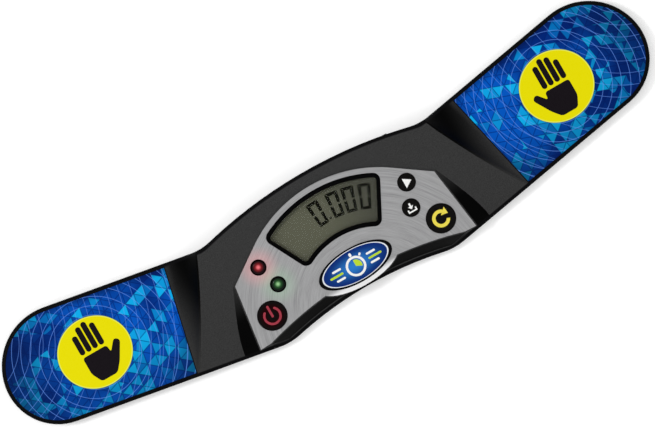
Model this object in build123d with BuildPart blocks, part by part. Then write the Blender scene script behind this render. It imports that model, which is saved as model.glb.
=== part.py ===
"""Hand-pad competition timer: a raised console with a display and four keys between two flat touch wings."""

from build123d import *

import math
import os

os.makedirs("parts", exist_ok=True)

# ---------------------------------------------------------------- driving dimensions, millimetres
# The frame: origin under the middle of the timer on the surface it stands on, +X right, +Y back, +Z up.
tip_reach = 197.5  # half of the overall length
wing_angle = 10.0  # each wing rises towards the back by this much
hub_back_y = 34.35  # middle of the console's back edge
hub_front_y = -36.15  # middle of the console's front edge
hub_back_radius = 265.0
hub_front_radius = 210.0
wing_back_at = (120.0, 34.85)  # a point on the wing's back edge
wing_front_at = (120.0, -30.2)  # a point on the wing's front edge
tip_back_radius = 33.8
waist_radius = 28.0
front_corner_radius = 32.0
pad_start = 94.9  # where the pad begins, measured along the wing
pad_line_across = -18.0  # and across it: the pad's inner edge turns about this point
pad_line_turn = 2.7  # how far that edge is turned from square to the wing, in degrees

foot_height = 1.0
floor_thickness = 1.8
parting_z = 6.0
wing_z = 12.0
wing_skin = 1.8
wall = 1.9
roof = 2.2
shell_step = 0.4  # the lower shell is this much smaller all round
lower_wall = 2.6
lip_height = 1.2
lip_gap = 0.15
floor_edge_radius = 1.6
rim_radius = 1.6
back_rim_radius = 1.2

crown_z = 25.0  # top of the console's curved back
crown_y = 40.0
crown_radius = 213.2

panel_tilt = 7.5  # the panel leans forward by this much
panel_z = 21.85  # height of the panel plane over the origin
skin = 2.3  # depth of the plastic's underside below the panel plane
fascia_depth = 0.5  # the fascia's underside
fascia_proud = 0.3
board_depth = 7.5
board_thickness = 1.6

# ---------------------------------------------------------------- planes and small helpers
sin_wing = math.sin(math.radians(wing_angle))
cos_wing = math.cos(math.radians(wing_angle))
sin_tilt = math.sin(math.radians(panel_tilt))
cos_tilt = math.cos(math.radians(panel_tilt))
panel = Plane(origin=(0, 0, panel_z), x_dir=(1, 0, 0), z_dir=(0, -sin_tilt, cos_tilt))
up_panel = Axis(panel.origin, panel.z_dir)
standing = (Align.CENTER, Align.CENTER, Align.MIN)
floor_z = foot_height
inner_floor_z = floor_z + floor_thickness
sides = (1, -1)


def wing_point(along, across, side=1):
    """A point given along and across the wing's own axis, on the right (1) or left (-1) wing."""
    x = along * cos_wing - across * sin_wing
    y = along * sin_wing + across * cos_wing
    return (side * x, y)


def across_of(point):
    """How far a right-hand point lies towards the back, across the wing's axis."""
    return -point[0] * sin_wing + point[1] * cos_wing


def along_of(point):
    """How far out a point of either wing lies, along that wing's axis."""
    return abs(point[0]) * cos_wing + point[1] * sin_wing


def below(depth):
    """The plane parallel to the panel at this depth under it."""
    return panel.offset(-depth)


def in_panel(x, y, depth=0.0):
    """The world point at (x, y) of the panel's own axes, at this depth under it."""
    return panel.from_local_coords(Vector(x, y, -depth))


def keep(builder, name):
    """Labels a finished piece and writes it."""
    builder.part.label = name
    export_step(builder.part, f"parts/{name}.step")


# ---------------------------------------------------------------- outline in plan
wing_back = across_of(wing_back_at)
wing_front = across_of(wing_front_at)
tip_front_radius = wing_back - wing_front - tip_back_radius
tip_across = wing_back - tip_back_radius
tip_along = (tip_reach - tip_front_radius + tip_across * sin_wing) / cos_wing + tip_front_radius
half_turn = math.sqrt(0.5)


def arc_drop(radius, x):
    """How far an arc of this radius has fallen at x from its middle."""
    return radius - math.sqrt(radius**2 - x**2)


def meet(line_point, apex_y, radius):
    """Where a wing's edge meets the console's arc, found by halving."""
    near, far = 30.0, 100.0
    slope = sin_wing / cos_wing
    gap_near = apex_y - arc_drop(radius, near) - (line_point[1] + slope * (near - line_point[0]))
    for _ in range(60):
        middle = (near + far) / 2
        gap = apex_y - arc_drop(radius, middle) - (line_point[1] + slope * (middle - line_point[0]))
        if gap * gap_near > 0:
            near = middle
        else:
            far = middle
    return (middle, apex_y - arc_drop(radius, middle))


waist = meet(wing_back_at, hub_back_y, hub_back_radius)
front_corner = meet(wing_front_at, hub_front_y, hub_front_radius)

with BuildSketch() as plan:
    with BuildLine():
        ThreePointArc((-waist[0], waist[1]), (0, hub_back_y), waist)
        ThreePointArc((-front_corner[0], front_corner[1]), (0, hub_front_y), front_corner)
        for side in sides:
            back_end = wing_point(tip_along - tip_back_radius, wing_back, side)
            back_turn = tip_along - tip_back_radius * (1 - half_turn)
            back_mid = wing_point(back_turn, tip_across + tip_back_radius * half_turn, side)
            front_turn = tip_along - tip_front_radius * (1 - half_turn)
            front_mid = wing_point(front_turn, tip_across - tip_front_radius * half_turn, side)
            front_end = wing_point(tip_along - tip_front_radius, wing_front, side)
            tip = wing_point(tip_along, tip_across, side)
            Line((side * waist[0], waist[1]), back_end)
            ThreePointArc(back_end, back_mid, tip)
            ThreePointArc(tip, front_mid, front_end)
            Line(front_end, (side * front_corner[0], front_corner[1]))
    make_face()
    at_waist = plan.vertices().filter_by(lambda v: abs(abs(v.X) - waist[0]) < 0.01 and v.Y > 0)
    fillet(at_waist, waist_radius)
    at_corner = plan.vertices().filter_by(lambda v: abs(abs(v.X) - front_corner[0]) < 0.01 and v.Y < 0)
    fillet(at_corner, front_corner_radius)


def inset_plan(amount):
    """The plan drawn smaller by this much all round."""
    with BuildSketch() as smaller:
        add(plan.sketch)
        offset(amount=-amount)
    return smaller.sketch


def past_line(start, side, mode=Mode.ADD):
    """A wide rectangle over everything of one wing that lies past the pad's inner edge, moved to start."""
    pivot = wing_point(start, pad_line_across, side)
    outwards = Align.MIN if side == 1 else Align.MAX
    with Locations(Location((pivot[0], pivot[1], 0), (0, 0, side * (wing_angle + pad_line_turn)))):
        Rectangle(300, 300, align=(outwards, Align.CENTER), mode=mode)


def pad_line(y):
    """The x at which the right pad's inner edge passes this y."""
    pivot = wing_point(pad_start, pad_line_across)
    return pivot[0] - (y - pivot[1]) * math.tan(math.radians(wing_angle + pad_line_turn))


# ---------------------------------------------------------------- the panel's outlines, in its own axes
face_centre = (0.0, -47.7)  # the display and the fascia's back edge curve about this point
fascia_back_radius = 74.1
fascia_bend_x = 41.0
fascia_side_back = (61.8, -0.6)
fascia_side_front = (66.9, -37.5)
fascia_front_bend = (60.3, -37.2)
fascia_front_y = -28.4
lobe_centre = (0.0, -24.2)
lobe_axes = (25.5, 11.05)


def fascia_outline(grow=0.0):
    """The fascia's outline with its oval lobe at the front, grown all round."""
    with BuildSketch() as outline:
        with BuildLine():
            bend_y = face_centre[1] + math.sqrt(fascia_back_radius**2 - fascia_bend_x**2)
            apex = (0, face_centre[1] + fascia_back_radius)
            ThreePointArc((-fascia_bend_x, bend_y), apex, (fascia_bend_x, bend_y))
            bend = fascia_front_bend
            ThreePointArc((-bend[0], bend[1]), (0, fascia_front_y), bend)
            for side in sides:
                Polyline(
                    (side * fascia_bend_x, bend_y),
                    (side * fascia_side_back[0], fascia_side_back[1]),
                    (side * fascia_side_front[0], fascia_side_front[1]),
                    (side * bend[0], bend[1]),
                )
        make_face()
        if grow:
            offset(amount=grow)
        with Locations(lobe_centre):
            Ellipse(lobe_axes[0] + grow, lobe_axes[1] + grow)
    return outline.sketch


window_radii = (44.7, 68.7)
window_side = (26.75, 0.5205)  # half width at y = 0, and how it grows with y
window_corner = 1.8
bezel_radii = (42.25, 71.1)
bezel_side = (29.1, 0.5126)
bezel_corner = 4.0


def sector(radii, side_line, corner, grow=0.0):
    """A ring sector about the face centre with rounded corners: the shape of the display."""
    inner, outer = radii
    half, slope = side_line
    with BuildSketch() as shape:
        with Locations(face_centre):
            Circle(outer)
            Circle(inner, mode=Mode.SUBTRACT)
        with BuildSketch(mode=Mode.INTERSECT):
            with BuildLine():
                low, high = -30.0, 40.0
                Polyline(
                    (half + slope * low, low),
                    (half + slope * high, high),
                    (-half - slope * high, high),
                    (-half - slope * low, low),
                    close=True,
                )
            make_face()
        fillet(shape.vertices(), corner)
        if grow:
            offset(amount=grow)
    return shape.sketch


# ---------------------------------------------------------------- keys and lamps: places and sizes
large_key_radius = 8.15
small_key_radius = 4.95
keys = {
    "power": ((-52.4, -24.45), large_key_radius),
    "reset": ((52.45, -24.45), large_key_radius),
    "play": ((46.0, 1.9), small_key_radius),
    "save": ((41.35, -11.3), small_key_radius),
}
key_gap = 0.15
lamps = {"red": (-45.9, 2.0), "green": (-41.2, -11.2)}
lamp_ring_radius = 4.4
lamp_lens_radius = 3.65
fit_gap = 0.05  # between two fixed pieces, one in the other's hole
badge_centre = (0.0, -23.15)
badge_axes = (22.0, 9.75)
badge_pins = [(s * 14.0, badge_centre[1]) for s in sides]
badge_pin_radius = 0.8
badge_pin_hole = badge_pin_radius + 0.1

# ---------------------------------------------------------------- fixings and fittings: places and sizes
screw_posts = [wing_point(170, 1, s) for s in sides] + [wing_point(170, -38, s) for s in sides]
screw_posts += [wing_point(108, 5, s) for s in sides] + [wing_point(108, -42, s) for s in sides]
screw_posts += [(s * 65.5, 17.5) for s in sides] + [(s * 37.5, 25.6) for s in sides]
screw_posts += [(s * 71.5, -29.0) for s in sides]
post_radius = 2.9
post_foot_z = 4.5  # where the upper shell's posts meet the lower shell's bosses
screw_radius = 1.1
pilot_radius = 1.15
pilot_top_z = 10.5
screw_tip_z = 10.0
head_radius = 2.1
head_seat_z = 2.8
boss_radius = 3.6
screw_gap = 0.2

board_posts = [(s * 32.0, -23.0) for s in sides] + [(s * 58.0, -7.0) for s in sides]
board_post_radius = 2.2
board_screw_radius = 0.9
board_screw_head = 1.8

feet_places = [wing_point(182, -19, s) for s in sides] + [(s * 56.0, -31.5) for s in sides]
feet_places += [(s * 48.0, 20.5) for s in sides]
foot_radius = 5.0
foot_pocket = 0.6
socket_places = [wing_point(122, -18, s) for s in sides]
socket_radius = 4.0
socket_wall = 1.6
socket_bore_radius = 2.9
socket_bore_depth = 3.0
socket_top_z = floor_z + socket_bore_depth + 0.5

jack_x = 47.0
jack_z = 13.0
jack_bore_radius = 1.85
jack_nose_radius = 2.9
jack_width = 8.0
jack_height = 7.0
cradle_ribs = (19.0, 24.5)
rib_thickness = 1.6
jack_back_y = hub_back_y - arc_drop(hub_back_radius, jack_x)  # the back wall's outer face at the jack
lead_hole = wing_point(pad_start + 6, -6)  # where a sensor's lead passes through the wing's skin
lead_hole_radius = 1.2
lead_radius = 0.7
jack_lead_radius = 0.9

cell_radius = 5.25
cell_length = 44.5
cell_rows = (12.8, 23.8)
cell_z = 8.5
bay_half = 25.5
bay_y = (6.7, 29.9)
bay_roof_z = 14.0
bay_wall = 1.0
door_half = 24.5
door_y = (7.6, 28.8)
door_gap = 0.25
door_middle_y = (door_y[0] + door_y[1]) / 2
door_length = door_y[1] - door_y[0]
tab_z = 12.2  # the terminals' solder tabs pass the bay's wall at this height
tab_width = 1.8
tab_thickness = 0.4

# ---------------------------------------------------------------- the console's and wings' outer form
flank_turn = math.tan(math.radians(pad_line_turn))
flank_along = pad_start + (pad_line_across - wing_front) * flank_turn
flank_apex = wing_point(flank_along, wing_front)  # both edges of a flank meet here, at the front
flank_plane_y = 45.0  # the flank's profile is drawn on the plane y = 45, behind the body
flank_foot = pad_line(flank_plane_y) - flank_apex[0]
flank_profile = [(flank_foot, 0.0), (-36.3, 2.0), (-44.3, 17.0), (-52.8, 31.0)]  # from the apex's x, and up
skirt_slope = 0.29
skirt_angle = math.atan(skirt_slope)
skirt_z = 20.6
skirt_normal = (0, -math.sin(skirt_angle), math.cos(skirt_angle))
skirt_plane = Plane(origin=(0, 0, skirt_z), x_dir=(1, 0, 0), z_dir=skirt_normal)
pod_grow = 0.7  # the pod's rim round the fascia
pod_depth = 9.0

with BuildPart() as wings:
    with BuildSketch(Plane.XY.offset(parting_z)):
        for side in sides:
            past_line(pad_start - 1, side)
        add(plan.sketch, mode=Mode.INTERSECT)
    extrude(amount=wing_z - parting_z)
    rim_edges = wings.edges().group_by(Axis.Z)[-1]
    rim_edges = rim_edges.filter_by(lambda e: along_of((e.center().X, e.center().Y)) > pad_start)
    fillet(rim_edges, rim_radius)

with BuildPart() as console:
    with BuildSketch(Plane.XY.offset(parting_z)):
        add(plan.sketch)
        for side in sides:
            past_line(pad_start, side, Mode.SUBTRACT)
    extrude(amount=crown_z + 5 - parting_z)
    with Locations((0, crown_y, crown_z - crown_radius)):
        Cylinder(crown_radius, 250, rotation=(0, 90, 0), mode=Mode.INTERSECT)
    crown = console.faces().sort_by(Axis.Z)[-1]
    front_rim = crown.edges().filter_by(
        lambda e: e.center().Y < -33 and along_of((e.center().X, e.center().Y)) < pad_start - 0.2
    )
    fillet(front_rim, rim_radius)
    for side in sides:
        with BuildSketch(Plane.XZ.offset(-flank_plane_y)) as flank:
            with BuildLine():
                points = [(side * (flank_apex[0] + x), wing_z + z) for x, z in flank_profile]
                beyond = side * (flank_apex[0] + 8)
                Bezier(*points)
                Polyline(points[-1], (beyond, points[-1][1]), (beyond, wing_z), points[0])
            make_face()
        apex = Vertex(side * flank_apex[0], flank_apex[1], wing_z)
        loft([flank.sketch.faces()[0], apex], ruled=True, mode=Mode.SUBTRACT)
    back_rim = console.edges().filter_by(
        lambda e: e.center().Y > 24 and e.center().Z > wing_z + 0.5 and abs((e % 0.5).Z) < 0.99
    )
    ridges = console.edges().filter_by(lambda e: abs(abs(e.center().X) - 86) < 2 and e.center().Z > 18)
    fillet(back_rim + ridges, back_rim_radius)

with BuildPart() as pod:
    with BuildSketch(below(0)):
        add(fascia_outline(pod_grow))
    extrude(amount=-pod_depth)
    side_back = (fascia_side_back[0] + pod_grow, fascia_side_back[1])
    side_front = (fascia_side_front[0] + pod_grow, fascia_side_front[1] - pod_grow)
    front_bend = (fascia_front_bend[0] + pod_grow / 2, fascia_front_bend[1] - pod_grow)
    with BuildSketch(below(0)) as top_outline:
        with BuildLine():
            Line((-side_back[0], side_back[1]), side_back)
            ThreePointArc((-front_bend[0], front_bend[1]), (0, fascia_front_y - pod_grow), front_bend)
            for side in sides:
                Polyline(
                    (side * side_back[0], side_back[1]),
                    (side * side_front[0], side_front[1]),
                    (side * front_bend[0], front_bend[1]),
                )
        make_face()
    steep = math.cos(skirt_angle)
    with BuildSketch(skirt_plane) as foot_outline:
        with BuildLine():
            foot_back = (63.9, -0.7 / steep)
            foot_side = (75.1, -20.0 / steep)
            foot_front = (77.4, -36.0 / steep)
            foot_bend = (50.0, -39.9 / steep)
            Line((-foot_back[0], foot_back[1]), foot_back)
            ThreePointArc((-foot_bend[0], foot_bend[1]), (0, -34.6 / steep), foot_bend)
            for side in sides:
                ThreePointArc(
                    (side * foot_back[0], foot_back[1]),
                    (side * foot_side[0], foot_side[1]),
                    (side * foot_front[0], foot_front[1]),
                )
                Line((side * foot_front[0], foot_front[1]), (side * foot_bend[0], foot_bend[1]))
        make_face()
    loft([foot_outline.sketch.faces()[0], top_outline.sketch.faces()[0]], ruled=True)

# ---------------------------------------------------------------- the hollow inside the upper shell
pad_recess = 0.8
rim_width = 2.2
wing_roof_z = wing_z - pad_recess - wing_skin


def crown_height(y):
    """The height of the console's curved back at y."""
    return crown_z - arc_drop(crown_radius, crown_y - y)


def pad_outline(shrink=0.0):
    """Both pads' outlines: the wings' plan within the rim."""
    with BuildSketch() as outline:
        for side in sides:
            past_line(pad_start + 0.2 + shrink, side)
        add(inset_plan(rim_width + shrink), mode=Mode.INTERSECT)
    return outline.sketch


hollow_side = [(64.0, 34.0), (84.5, -10.0), (88.0, -30.0), (88.0, -50.0)]  # kept inside the flanks
hollow_side += [(-x, y) for x, y in reversed(hollow_side)]
with BuildPart() as console_hollow:
    with BuildSketch(Plane.XY.offset(parting_z - 1)):
        with BuildLine():
            Polyline(*hollow_side, close=True)
        make_face()
        add(inset_plan(wall), mode=Mode.INTERSECT)
    extrude(amount=crown_z)
    with Locations((0, crown_y, crown_z - crown_radius)):
        Cylinder(crown_radius - roof, 250, rotation=(0, 90, 0), mode=Mode.INTERSECT)

with BuildPart() as pod_hollow:
    with BuildSketch(below(skin)):
        add(fascia_outline(-1.0))
    extrude(amount=-30)
    with BuildSketch(Plane.XY.offset(parting_z - 1)):
        add(inset_plan(wall))
    extrude(amount=crown_z, mode=Mode.INTERSECT)

# ---------------------------------------------------------------- upper shell
with BuildPart() as upper_shell:
    add(console.part)
    add(wings.part)
    add(pod.part)
    with BuildSketch(Plane.XY.offset(parting_z - 1)):
        add(inset_plan(wall))
    extrude(amount=wing_roof_z - parting_z + 1, mode=Mode.SUBTRACT)
    add(console_hollow.part, mode=Mode.SUBTRACT)
    add(pod_hollow.part, mode=Mode.SUBTRACT)
    with BuildSketch(Plane.XY.offset(wing_z - pad_recess)):
        add(pad_outline())
    extrude(amount=5, mode=Mode.SUBTRACT)
    with BuildSketch(below(fascia_depth)):
        add(fascia_outline(0.1))
    extrude(amount=5, mode=Mode.SUBTRACT)
    with BuildSketch(below(skin + 1)):
        add(sector(bezel_radii, bezel_side, bezel_corner, 0.1))
        for place, radius in keys.values():
            with Locations(place):
                Circle(radius + key_gap)
        for place in lamps.values():
            with Locations(place):
                Circle(lamp_ring_radius + fit_gap)
        with Locations(*badge_pins):
            Circle(badge_pin_hole)
    extrude(amount=5, mode=Mode.SUBTRACT)
    for place in screw_posts:
        top_z = wing_roof_z if along_of(place) > pad_start else crown_height(place[1]) - roof
        with Locations((place[0], place[1], post_foot_z)):
            Cylinder(post_radius, top_z - post_foot_z + 0.6, align=standing)
            Cylinder(pilot_radius, pilot_top_z - post_foot_z, align=standing, mode=Mode.SUBTRACT)
    with BuildSketch(below(board_depth)):
        with Locations(*board_posts):
            Circle(board_post_radius)
            Circle(board_screw_radius + fit_gap, mode=Mode.SUBTRACT)
    extrude(amount=board_depth - skin + 0.4)
    with Locations((jack_x, jack_back_y, jack_z)):
        Cylinder(jack_nose_radius + 0.15, 12, rotation=(90, 0, 0), mode=Mode.SUBTRACT)
    with Locations(*[(s * lead_hole[0], lead_hole[1], wing_z) for s in sides]):
        Cylinder(lead_hole_radius, 10, mode=Mode.SUBTRACT)
keep(upper_shell, "upper_shell")

# ---------------------------------------------------------------- lower shell
with BuildPart() as lower_shell:
    with BuildSketch(Plane.XY.offset(floor_z)):
        add(inset_plan(shell_step))
    extrude(amount=parting_z - floor_z)
    fillet(lower_shell.edges().group_by(Axis.Z)[0], floor_edge_radius)
    with BuildSketch(Plane.XY.offset(parting_z)):
        add(inset_plan(wall + lip_gap))
    extrude(amount=lip_height)
    with BuildSketch(Plane.XY.offset(inner_floor_z)):
        add(inset_plan(shell_step + lower_wall))
    extrude(amount=10, mode=Mode.SUBTRACT)
    # the battery bay: a box over a window in the floor
    bay_middle_y = (bay_y[0] + bay_y[1]) / 2
    bay_depth_y = bay_y[1] - bay_y[0]
    with BuildSketch(Plane.XY.offset(inner_floor_z - 0.5)):
        with Locations((0, bay_middle_y)):
            Rectangle(2 * (bay_half + bay_wall), bay_depth_y + 2 * bay_wall)
    extrude(amount=bay_roof_z + bay_wall - inner_floor_z + 0.5)
    with BuildSketch(Plane.XY.offset(inner_floor_z)):
        with Locations((0, bay_middle_y)):
            Rectangle(2 * bay_half, bay_depth_y)
    extrude(amount=bay_roof_z - inner_floor_z, mode=Mode.SUBTRACT)
    with BuildSketch(Plane.XY.offset(floor_z - 1)):
        with Locations((0, door_middle_y)):
            Rectangle(2 * door_half, door_length)
    extrude(amount=floor_thickness + 1.5, mode=Mode.SUBTRACT)
    # screw bosses, mat socket bosses and foot pockets
    with BuildSketch(Plane.XY.offset(inner_floor_z - 0.5)):
        with Locations(*screw_posts):
            Circle(boss_radius)
    extrude(amount=post_foot_z - inner_floor_z + 0.4)
    with BuildSketch(Plane.XY.offset(inner_floor_z - 0.5)):
        with Locations(*socket_places):
            Circle(socket_radius + socket_wall)
    extrude(amount=socket_top_z + 1.2 - inner_floor_z + 0.5)
    with BuildSketch(Plane.XY.offset(floor_z - 1)):
        with Locations(*screw_posts):
            Circle(head_radius + screw_gap)
    extrude(amount=head_seat_z - floor_z + 1, mode=Mode.SUBTRACT)
    with BuildSketch(Plane.XY.offset(floor_z - 1)):
        with Locations(*screw_posts):
            Circle(screw_radius + screw_gap)
    extrude(amount=10, mode=Mode.SUBTRACT)
    with BuildSketch(Plane.XY.offset(floor_z - 1)):
        with Locations(*socket_places):
            Circle(socket_radius)
    extrude(amount=socket_top_z - floor_z + 1, mode=Mode.SUBTRACT)
    with BuildSketch(Plane.XY.offset(floor_z - 1)):
        with Locations(*feet_places):
            Circle(foot_radius)
    extrude(amount=foot_pocket + 1, mode=Mode.SUBTRACT)
    # cradle under the data jack
    with BuildSketch(Plane.XY.offset(inner_floor_z - 0.5)):
        with Locations(*[(jack_x, y) for y in cradle_ribs]):
            Rectangle(jack_width + 2.4, rib_thickness)
    extrude(amount=jack_z - inner_floor_z + 0.5)
    with BuildSketch(Plane.XY.offset(jack_z - jack_height / 2)):
        with Locations((jack_x, sum(cradle_ribs) / 2)):
            Rectangle(jack_width + 0.1, 12)
    extrude(amount=5, mode=Mode.SUBTRACT)
    # slots through the bay's end wall for the battery terminals
    with Locations(*[(bay_half + bay_wall / 2, y, tab_z) for y in cell_rows]):
        Box(bay_wall + 0.4, tab_width + 0.5, tab_thickness + 0.4, mode=Mode.SUBTRACT)
keep(lower_shell, "lower_shell")

# ---------------------------------------------------------------- battery door
with BuildPart() as battery_door:
    with BuildSketch(Plane.XY.offset(floor_z)):
        with Locations((0, door_middle_y)):
            Rectangle(2 * (door_half - door_gap), door_length - 2 * door_gap)
    extrude(amount=floor_thickness)
    # hooks over the back lip
    for x in (-14, 14):
        with Locations((x, door_y[1] - 0.4, inner_floor_z + 0.55)):
            Box(7, 2.4, 0.9)
        with Locations((x, door_y[1] - 0.95, inner_floor_z)):
            Box(7, 1.3, 0.6)
    # the spring catch on the front edge, and its finger groove
    with Locations((0, door_y[0] + 1.0, inner_floor_z + 0.8)):
        Box(9, 0.8, 2.2)
    with Locations((0, door_y[0] + 4.5, floor_z)):
        Cylinder(1.0, 12, rotation=(0, 90, 0), mode=Mode.SUBTRACT)
keep(battery_door, "battery_door")

# ---------------------------------------------------------------- cells, springs and terminals
terminal_thickness = 0.5
plate_height = 8.6
nub_radius = 2.75
button_radius = 2.0
spring_radius = 2.9
spring_pitch = 0.72
spring_wire = 0.3
cell_half = cell_length / 2
nub_length = 0.8

with BuildPart() as battery_cells:
    for y, side in zip(cell_rows, sides):
        body_length = cell_length - nub_length
        with Locations((-side * nub_length / 2, y, cell_z)):
            Cylinder(cell_radius, body_length, rotation=(0, 90, 0))
        with Locations((side * (cell_half - nub_length / 2), y, cell_z)):
            Cylinder(nub_radius, nub_length, rotation=(0, 90, 0))
    circles = battery_cells.edges().filter_by(GeomType.CIRCLE)
    fillet(circles.filter_by(lambda e: abs(e.radius - cell_radius) < 0.01), 0.5)
keep(battery_cells, "battery_cells")

plate_x = bay_half - terminal_thickness / 2
contact_reach = bay_half - terminal_thickness - cell_half
with BuildPart() as battery_terminals:
    for y in cell_rows:
        with Locations((plate_x, y, cell_z)):
            Box(terminal_thickness, 9.0, plate_height)
        with Locations((bay_half + bay_wall / 2, y, tab_z)):
            Box(bay_wall + 2.0, tab_width, tab_thickness)
    with Locations((-plate_x, (cell_rows[0] + cell_rows[1]) / 2, cell_z)):
        Box(terminal_thickness, 20.0, plate_height)
    for y, side in zip(cell_rows, sides):
        with Locations((side * (cell_half + contact_reach / 2), y, cell_z)):
            Cylinder(button_radius, contact_reach, rotation=(0, 90, 0))
keep(battery_terminals, "battery_terminals")

with BuildPart() as battery_springs:
    for y, side in zip(cell_rows, sides):
        with BuildLine() as coil:
            Helix(
                pitch=spring_pitch,
                height=contact_reach - 2 * spring_wire,
                radius=spring_radius,
                center=(-side * (cell_half + spring_wire), y, cell_z),
                direction=(-side, 0, 0),
            )
        with BuildSketch(Plane(origin=coil.line @ 0, z_dir=coil.line % 0)):
            Circle(spring_wire)
        sweep(path=coil.line, is_frenet=True)
keep(battery_springs, "battery_springs")

# ---------------------------------------------------------------- fascia, display bezel and window
with BuildPart() as display_fascia:
    with BuildSketch(below(fascia_depth)):
        add(fascia_outline())
        add(sector(bezel_radii, bezel_side, bezel_corner, 0.1), mode=Mode.SUBTRACT)
        for place, radius in keys.values():
            with Locations(place):
                Circle(radius + key_gap, mode=Mode.SUBTRACT)
        for place in lamps.values():
            with Locations(place):
                Circle(lamp_ring_radius + fit_gap, mode=Mode.SUBTRACT)
        with Locations(*badge_pins):
            Circle(badge_pin_hole, mode=Mode.SUBTRACT)
    extrude(amount=fascia_depth + fascia_proud)
keep(display_fascia, "display_fascia")

bezel_proud = 0.7
bezel_rim_radius = 0.6
bezel_flange = 1.2
flange_thickness = 0.8
lens_step = 0.8
lens_depth = (0.3, 1.3)
with BuildPart() as display_bezel:
    with BuildSketch(below(skin)):
        add(sector(bezel_radii, bezel_side, bezel_corner))
        add(sector(window_radii, window_side, window_corner), mode=Mode.SUBTRACT)
    extrude(amount=skin + bezel_proud)
    fillet(display_bezel.faces().sort_by(up_panel)[-1].edges(), bezel_rim_radius)
    with BuildSketch(below(skin + flange_thickness)):
        add(sector(bezel_radii, bezel_side, bezel_corner, bezel_flange))
        add(sector(window_radii, window_side, window_corner), mode=Mode.SUBTRACT)
    extrude(amount=flange_thickness)
    with BuildSketch(below(skin + flange_thickness)):
        add(sector(window_radii, window_side, window_corner, lens_step + fit_gap))
    extrude(amount=skin + flange_thickness - lens_depth[0], mode=Mode.SUBTRACT)
keep(display_bezel, "display_bezel")

with BuildPart() as display_window:
    with BuildSketch(below(lens_depth[1])):
        add(sector(window_radii, window_side, window_corner, lens_step))
    extrude(amount=lens_depth[1] - lens_depth[0])
keep(display_window, "display_window")

frame_depth = (skin + flange_thickness + fit_gap, 6.4)
glass_depth = (4.0, 6.0)
glass_box = (-33.7, -11.4, 33.7, 22.0)
frame_box = (-35.2, -13.0, 35.2, 22.9)
frame_opening = (-33.0, -8.9, 33.0, 21.2)
frame_pins = [(s * 31.0, -12.3) for s in sides]


def box_outline(box, grow=0.0):
    """A rectangle by its low and high corners."""
    x0, y0, x1, y1 = box
    with Locations(((x0 + x1) / 2, (y0 + y1) / 2)):
        return Rectangle(x1 - x0 + 2 * grow, y1 - y0 + 2 * grow)


with BuildPart() as lcd_glass:
    with BuildSketch(below(glass_depth[1])):
        box_outline(glass_box)
    extrude(amount=glass_depth[1] - glass_depth[0])
keep(lcd_glass, "lcd_glass")

with BuildPart() as lcd_frame:
    with BuildSketch(below(frame_depth[1])):
        box_outline(frame_box)
    extrude(amount=frame_depth[1] - frame_depth[0])
    with BuildSketch(below(frame_depth[1])):
        box_outline(glass_box, 0.1)
    extrude(amount=frame_depth[1] - glass_depth[0] + fit_gap, mode=Mode.SUBTRACT)
    with BuildSketch(below(frame_depth[1])):
        box_outline(frame_opening)
    extrude(amount=10, mode=Mode.SUBTRACT)
    with BuildSketch(below(board_depth)):
        with Locations(*frame_pins):
            Circle(0.6)
    extrude(amount=board_depth - frame_depth[1] + 0.2)
keep(lcd_frame, "lcd_frame")

with BuildPart() as zebra_strip:
    with BuildSketch(below(board_depth)):
        with Locations((0, -10.2)):
            Rectangle(60, 1.8)
    extrude(amount=board_depth - glass_depth[1])
keep(zebra_strip, "zebra_strip")

# ---------------------------------------------------------------- circuit board and what it carries
board_half = 61.0
board_under = board_depth + board_thickness


def led_pins(place):
    """Where a lamp's two pins pass through the board."""
    return [(place[0] - 1.27, place[1]), (place[0] + 1.27, place[1])]


with BuildPart() as circuit_board:
    with BuildSketch(below(board_under)):
        with BuildLine():
            Polyline(
                (board_half, -33.4),
                (board_half, 9.0),
                (31.0, 9.0),
                (31.0, 3.2),
                (-31.0, 3.2),
                (-31.0, 9.0),
                (-board_half, 9.0),
                (-board_half, -33.4),
            )
            ThreePointArc((-board_half, -33.4), (0, -29.0), (board_half, -33.4))
        make_face()
        with Locations(*board_posts):
            Circle(board_screw_radius + 0.2, mode=Mode.SUBTRACT)
        for lamp_place in lamps.values():
            with Locations(*led_pins(lamp_place)):
                Circle(0.4, mode=Mode.SUBTRACT)
    extrude(amount=board_thickness)
keep(circuit_board, "circuit_board")

chip_place = (-12.0, -14.0)
chip_side = 12.0
chip_reach = 15.0  # over the pins
chip_rise = 0.9  # from the board to the pins' shoulders
pin_count = 13
pin_pitch = 0.8
pin_width = 0.32
pin_foot = 0.8
with BuildPart() as controller_chip:
    with BuildSketch(below(board_under + 1.6)):
        with Locations(chip_place):
            Rectangle(chip_side, chip_side)
    extrude(amount=1.5)
    with BuildSketch(below(board_under + chip_rise)):
        with Locations(chip_place):
            with GridLocations(0, pin_pitch, 1, pin_count):
                Rectangle(chip_reach, pin_width)
            with GridLocations(pin_pitch, 0, pin_count, 1):
                Rectangle(pin_width, chip_reach)
    extrude(amount=0.2)
    with BuildSketch(below(board_under + chip_rise)):
        with Locations(chip_place):
            with GridLocations(chip_reach - pin_foot / 2, pin_pitch, 2, pin_count):
                Rectangle(pin_foot, pin_width)
            with GridLocations(pin_pitch, chip_reach - pin_foot / 2, pin_count, 2):
                Rectangle(pin_width, pin_foot)
    extrude(amount=chip_rise)
keep(controller_chip, "controller_chip")

with BuildPart() as clock_crystal:
    with BuildSketch(below(board_under + 3.4)):
        with Locations((6.0, -12.0)):
            SlotOverall(10.2, 4.2)
    extrude(amount=3.4)
keep(clock_crystal, "clock_crystal")

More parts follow.
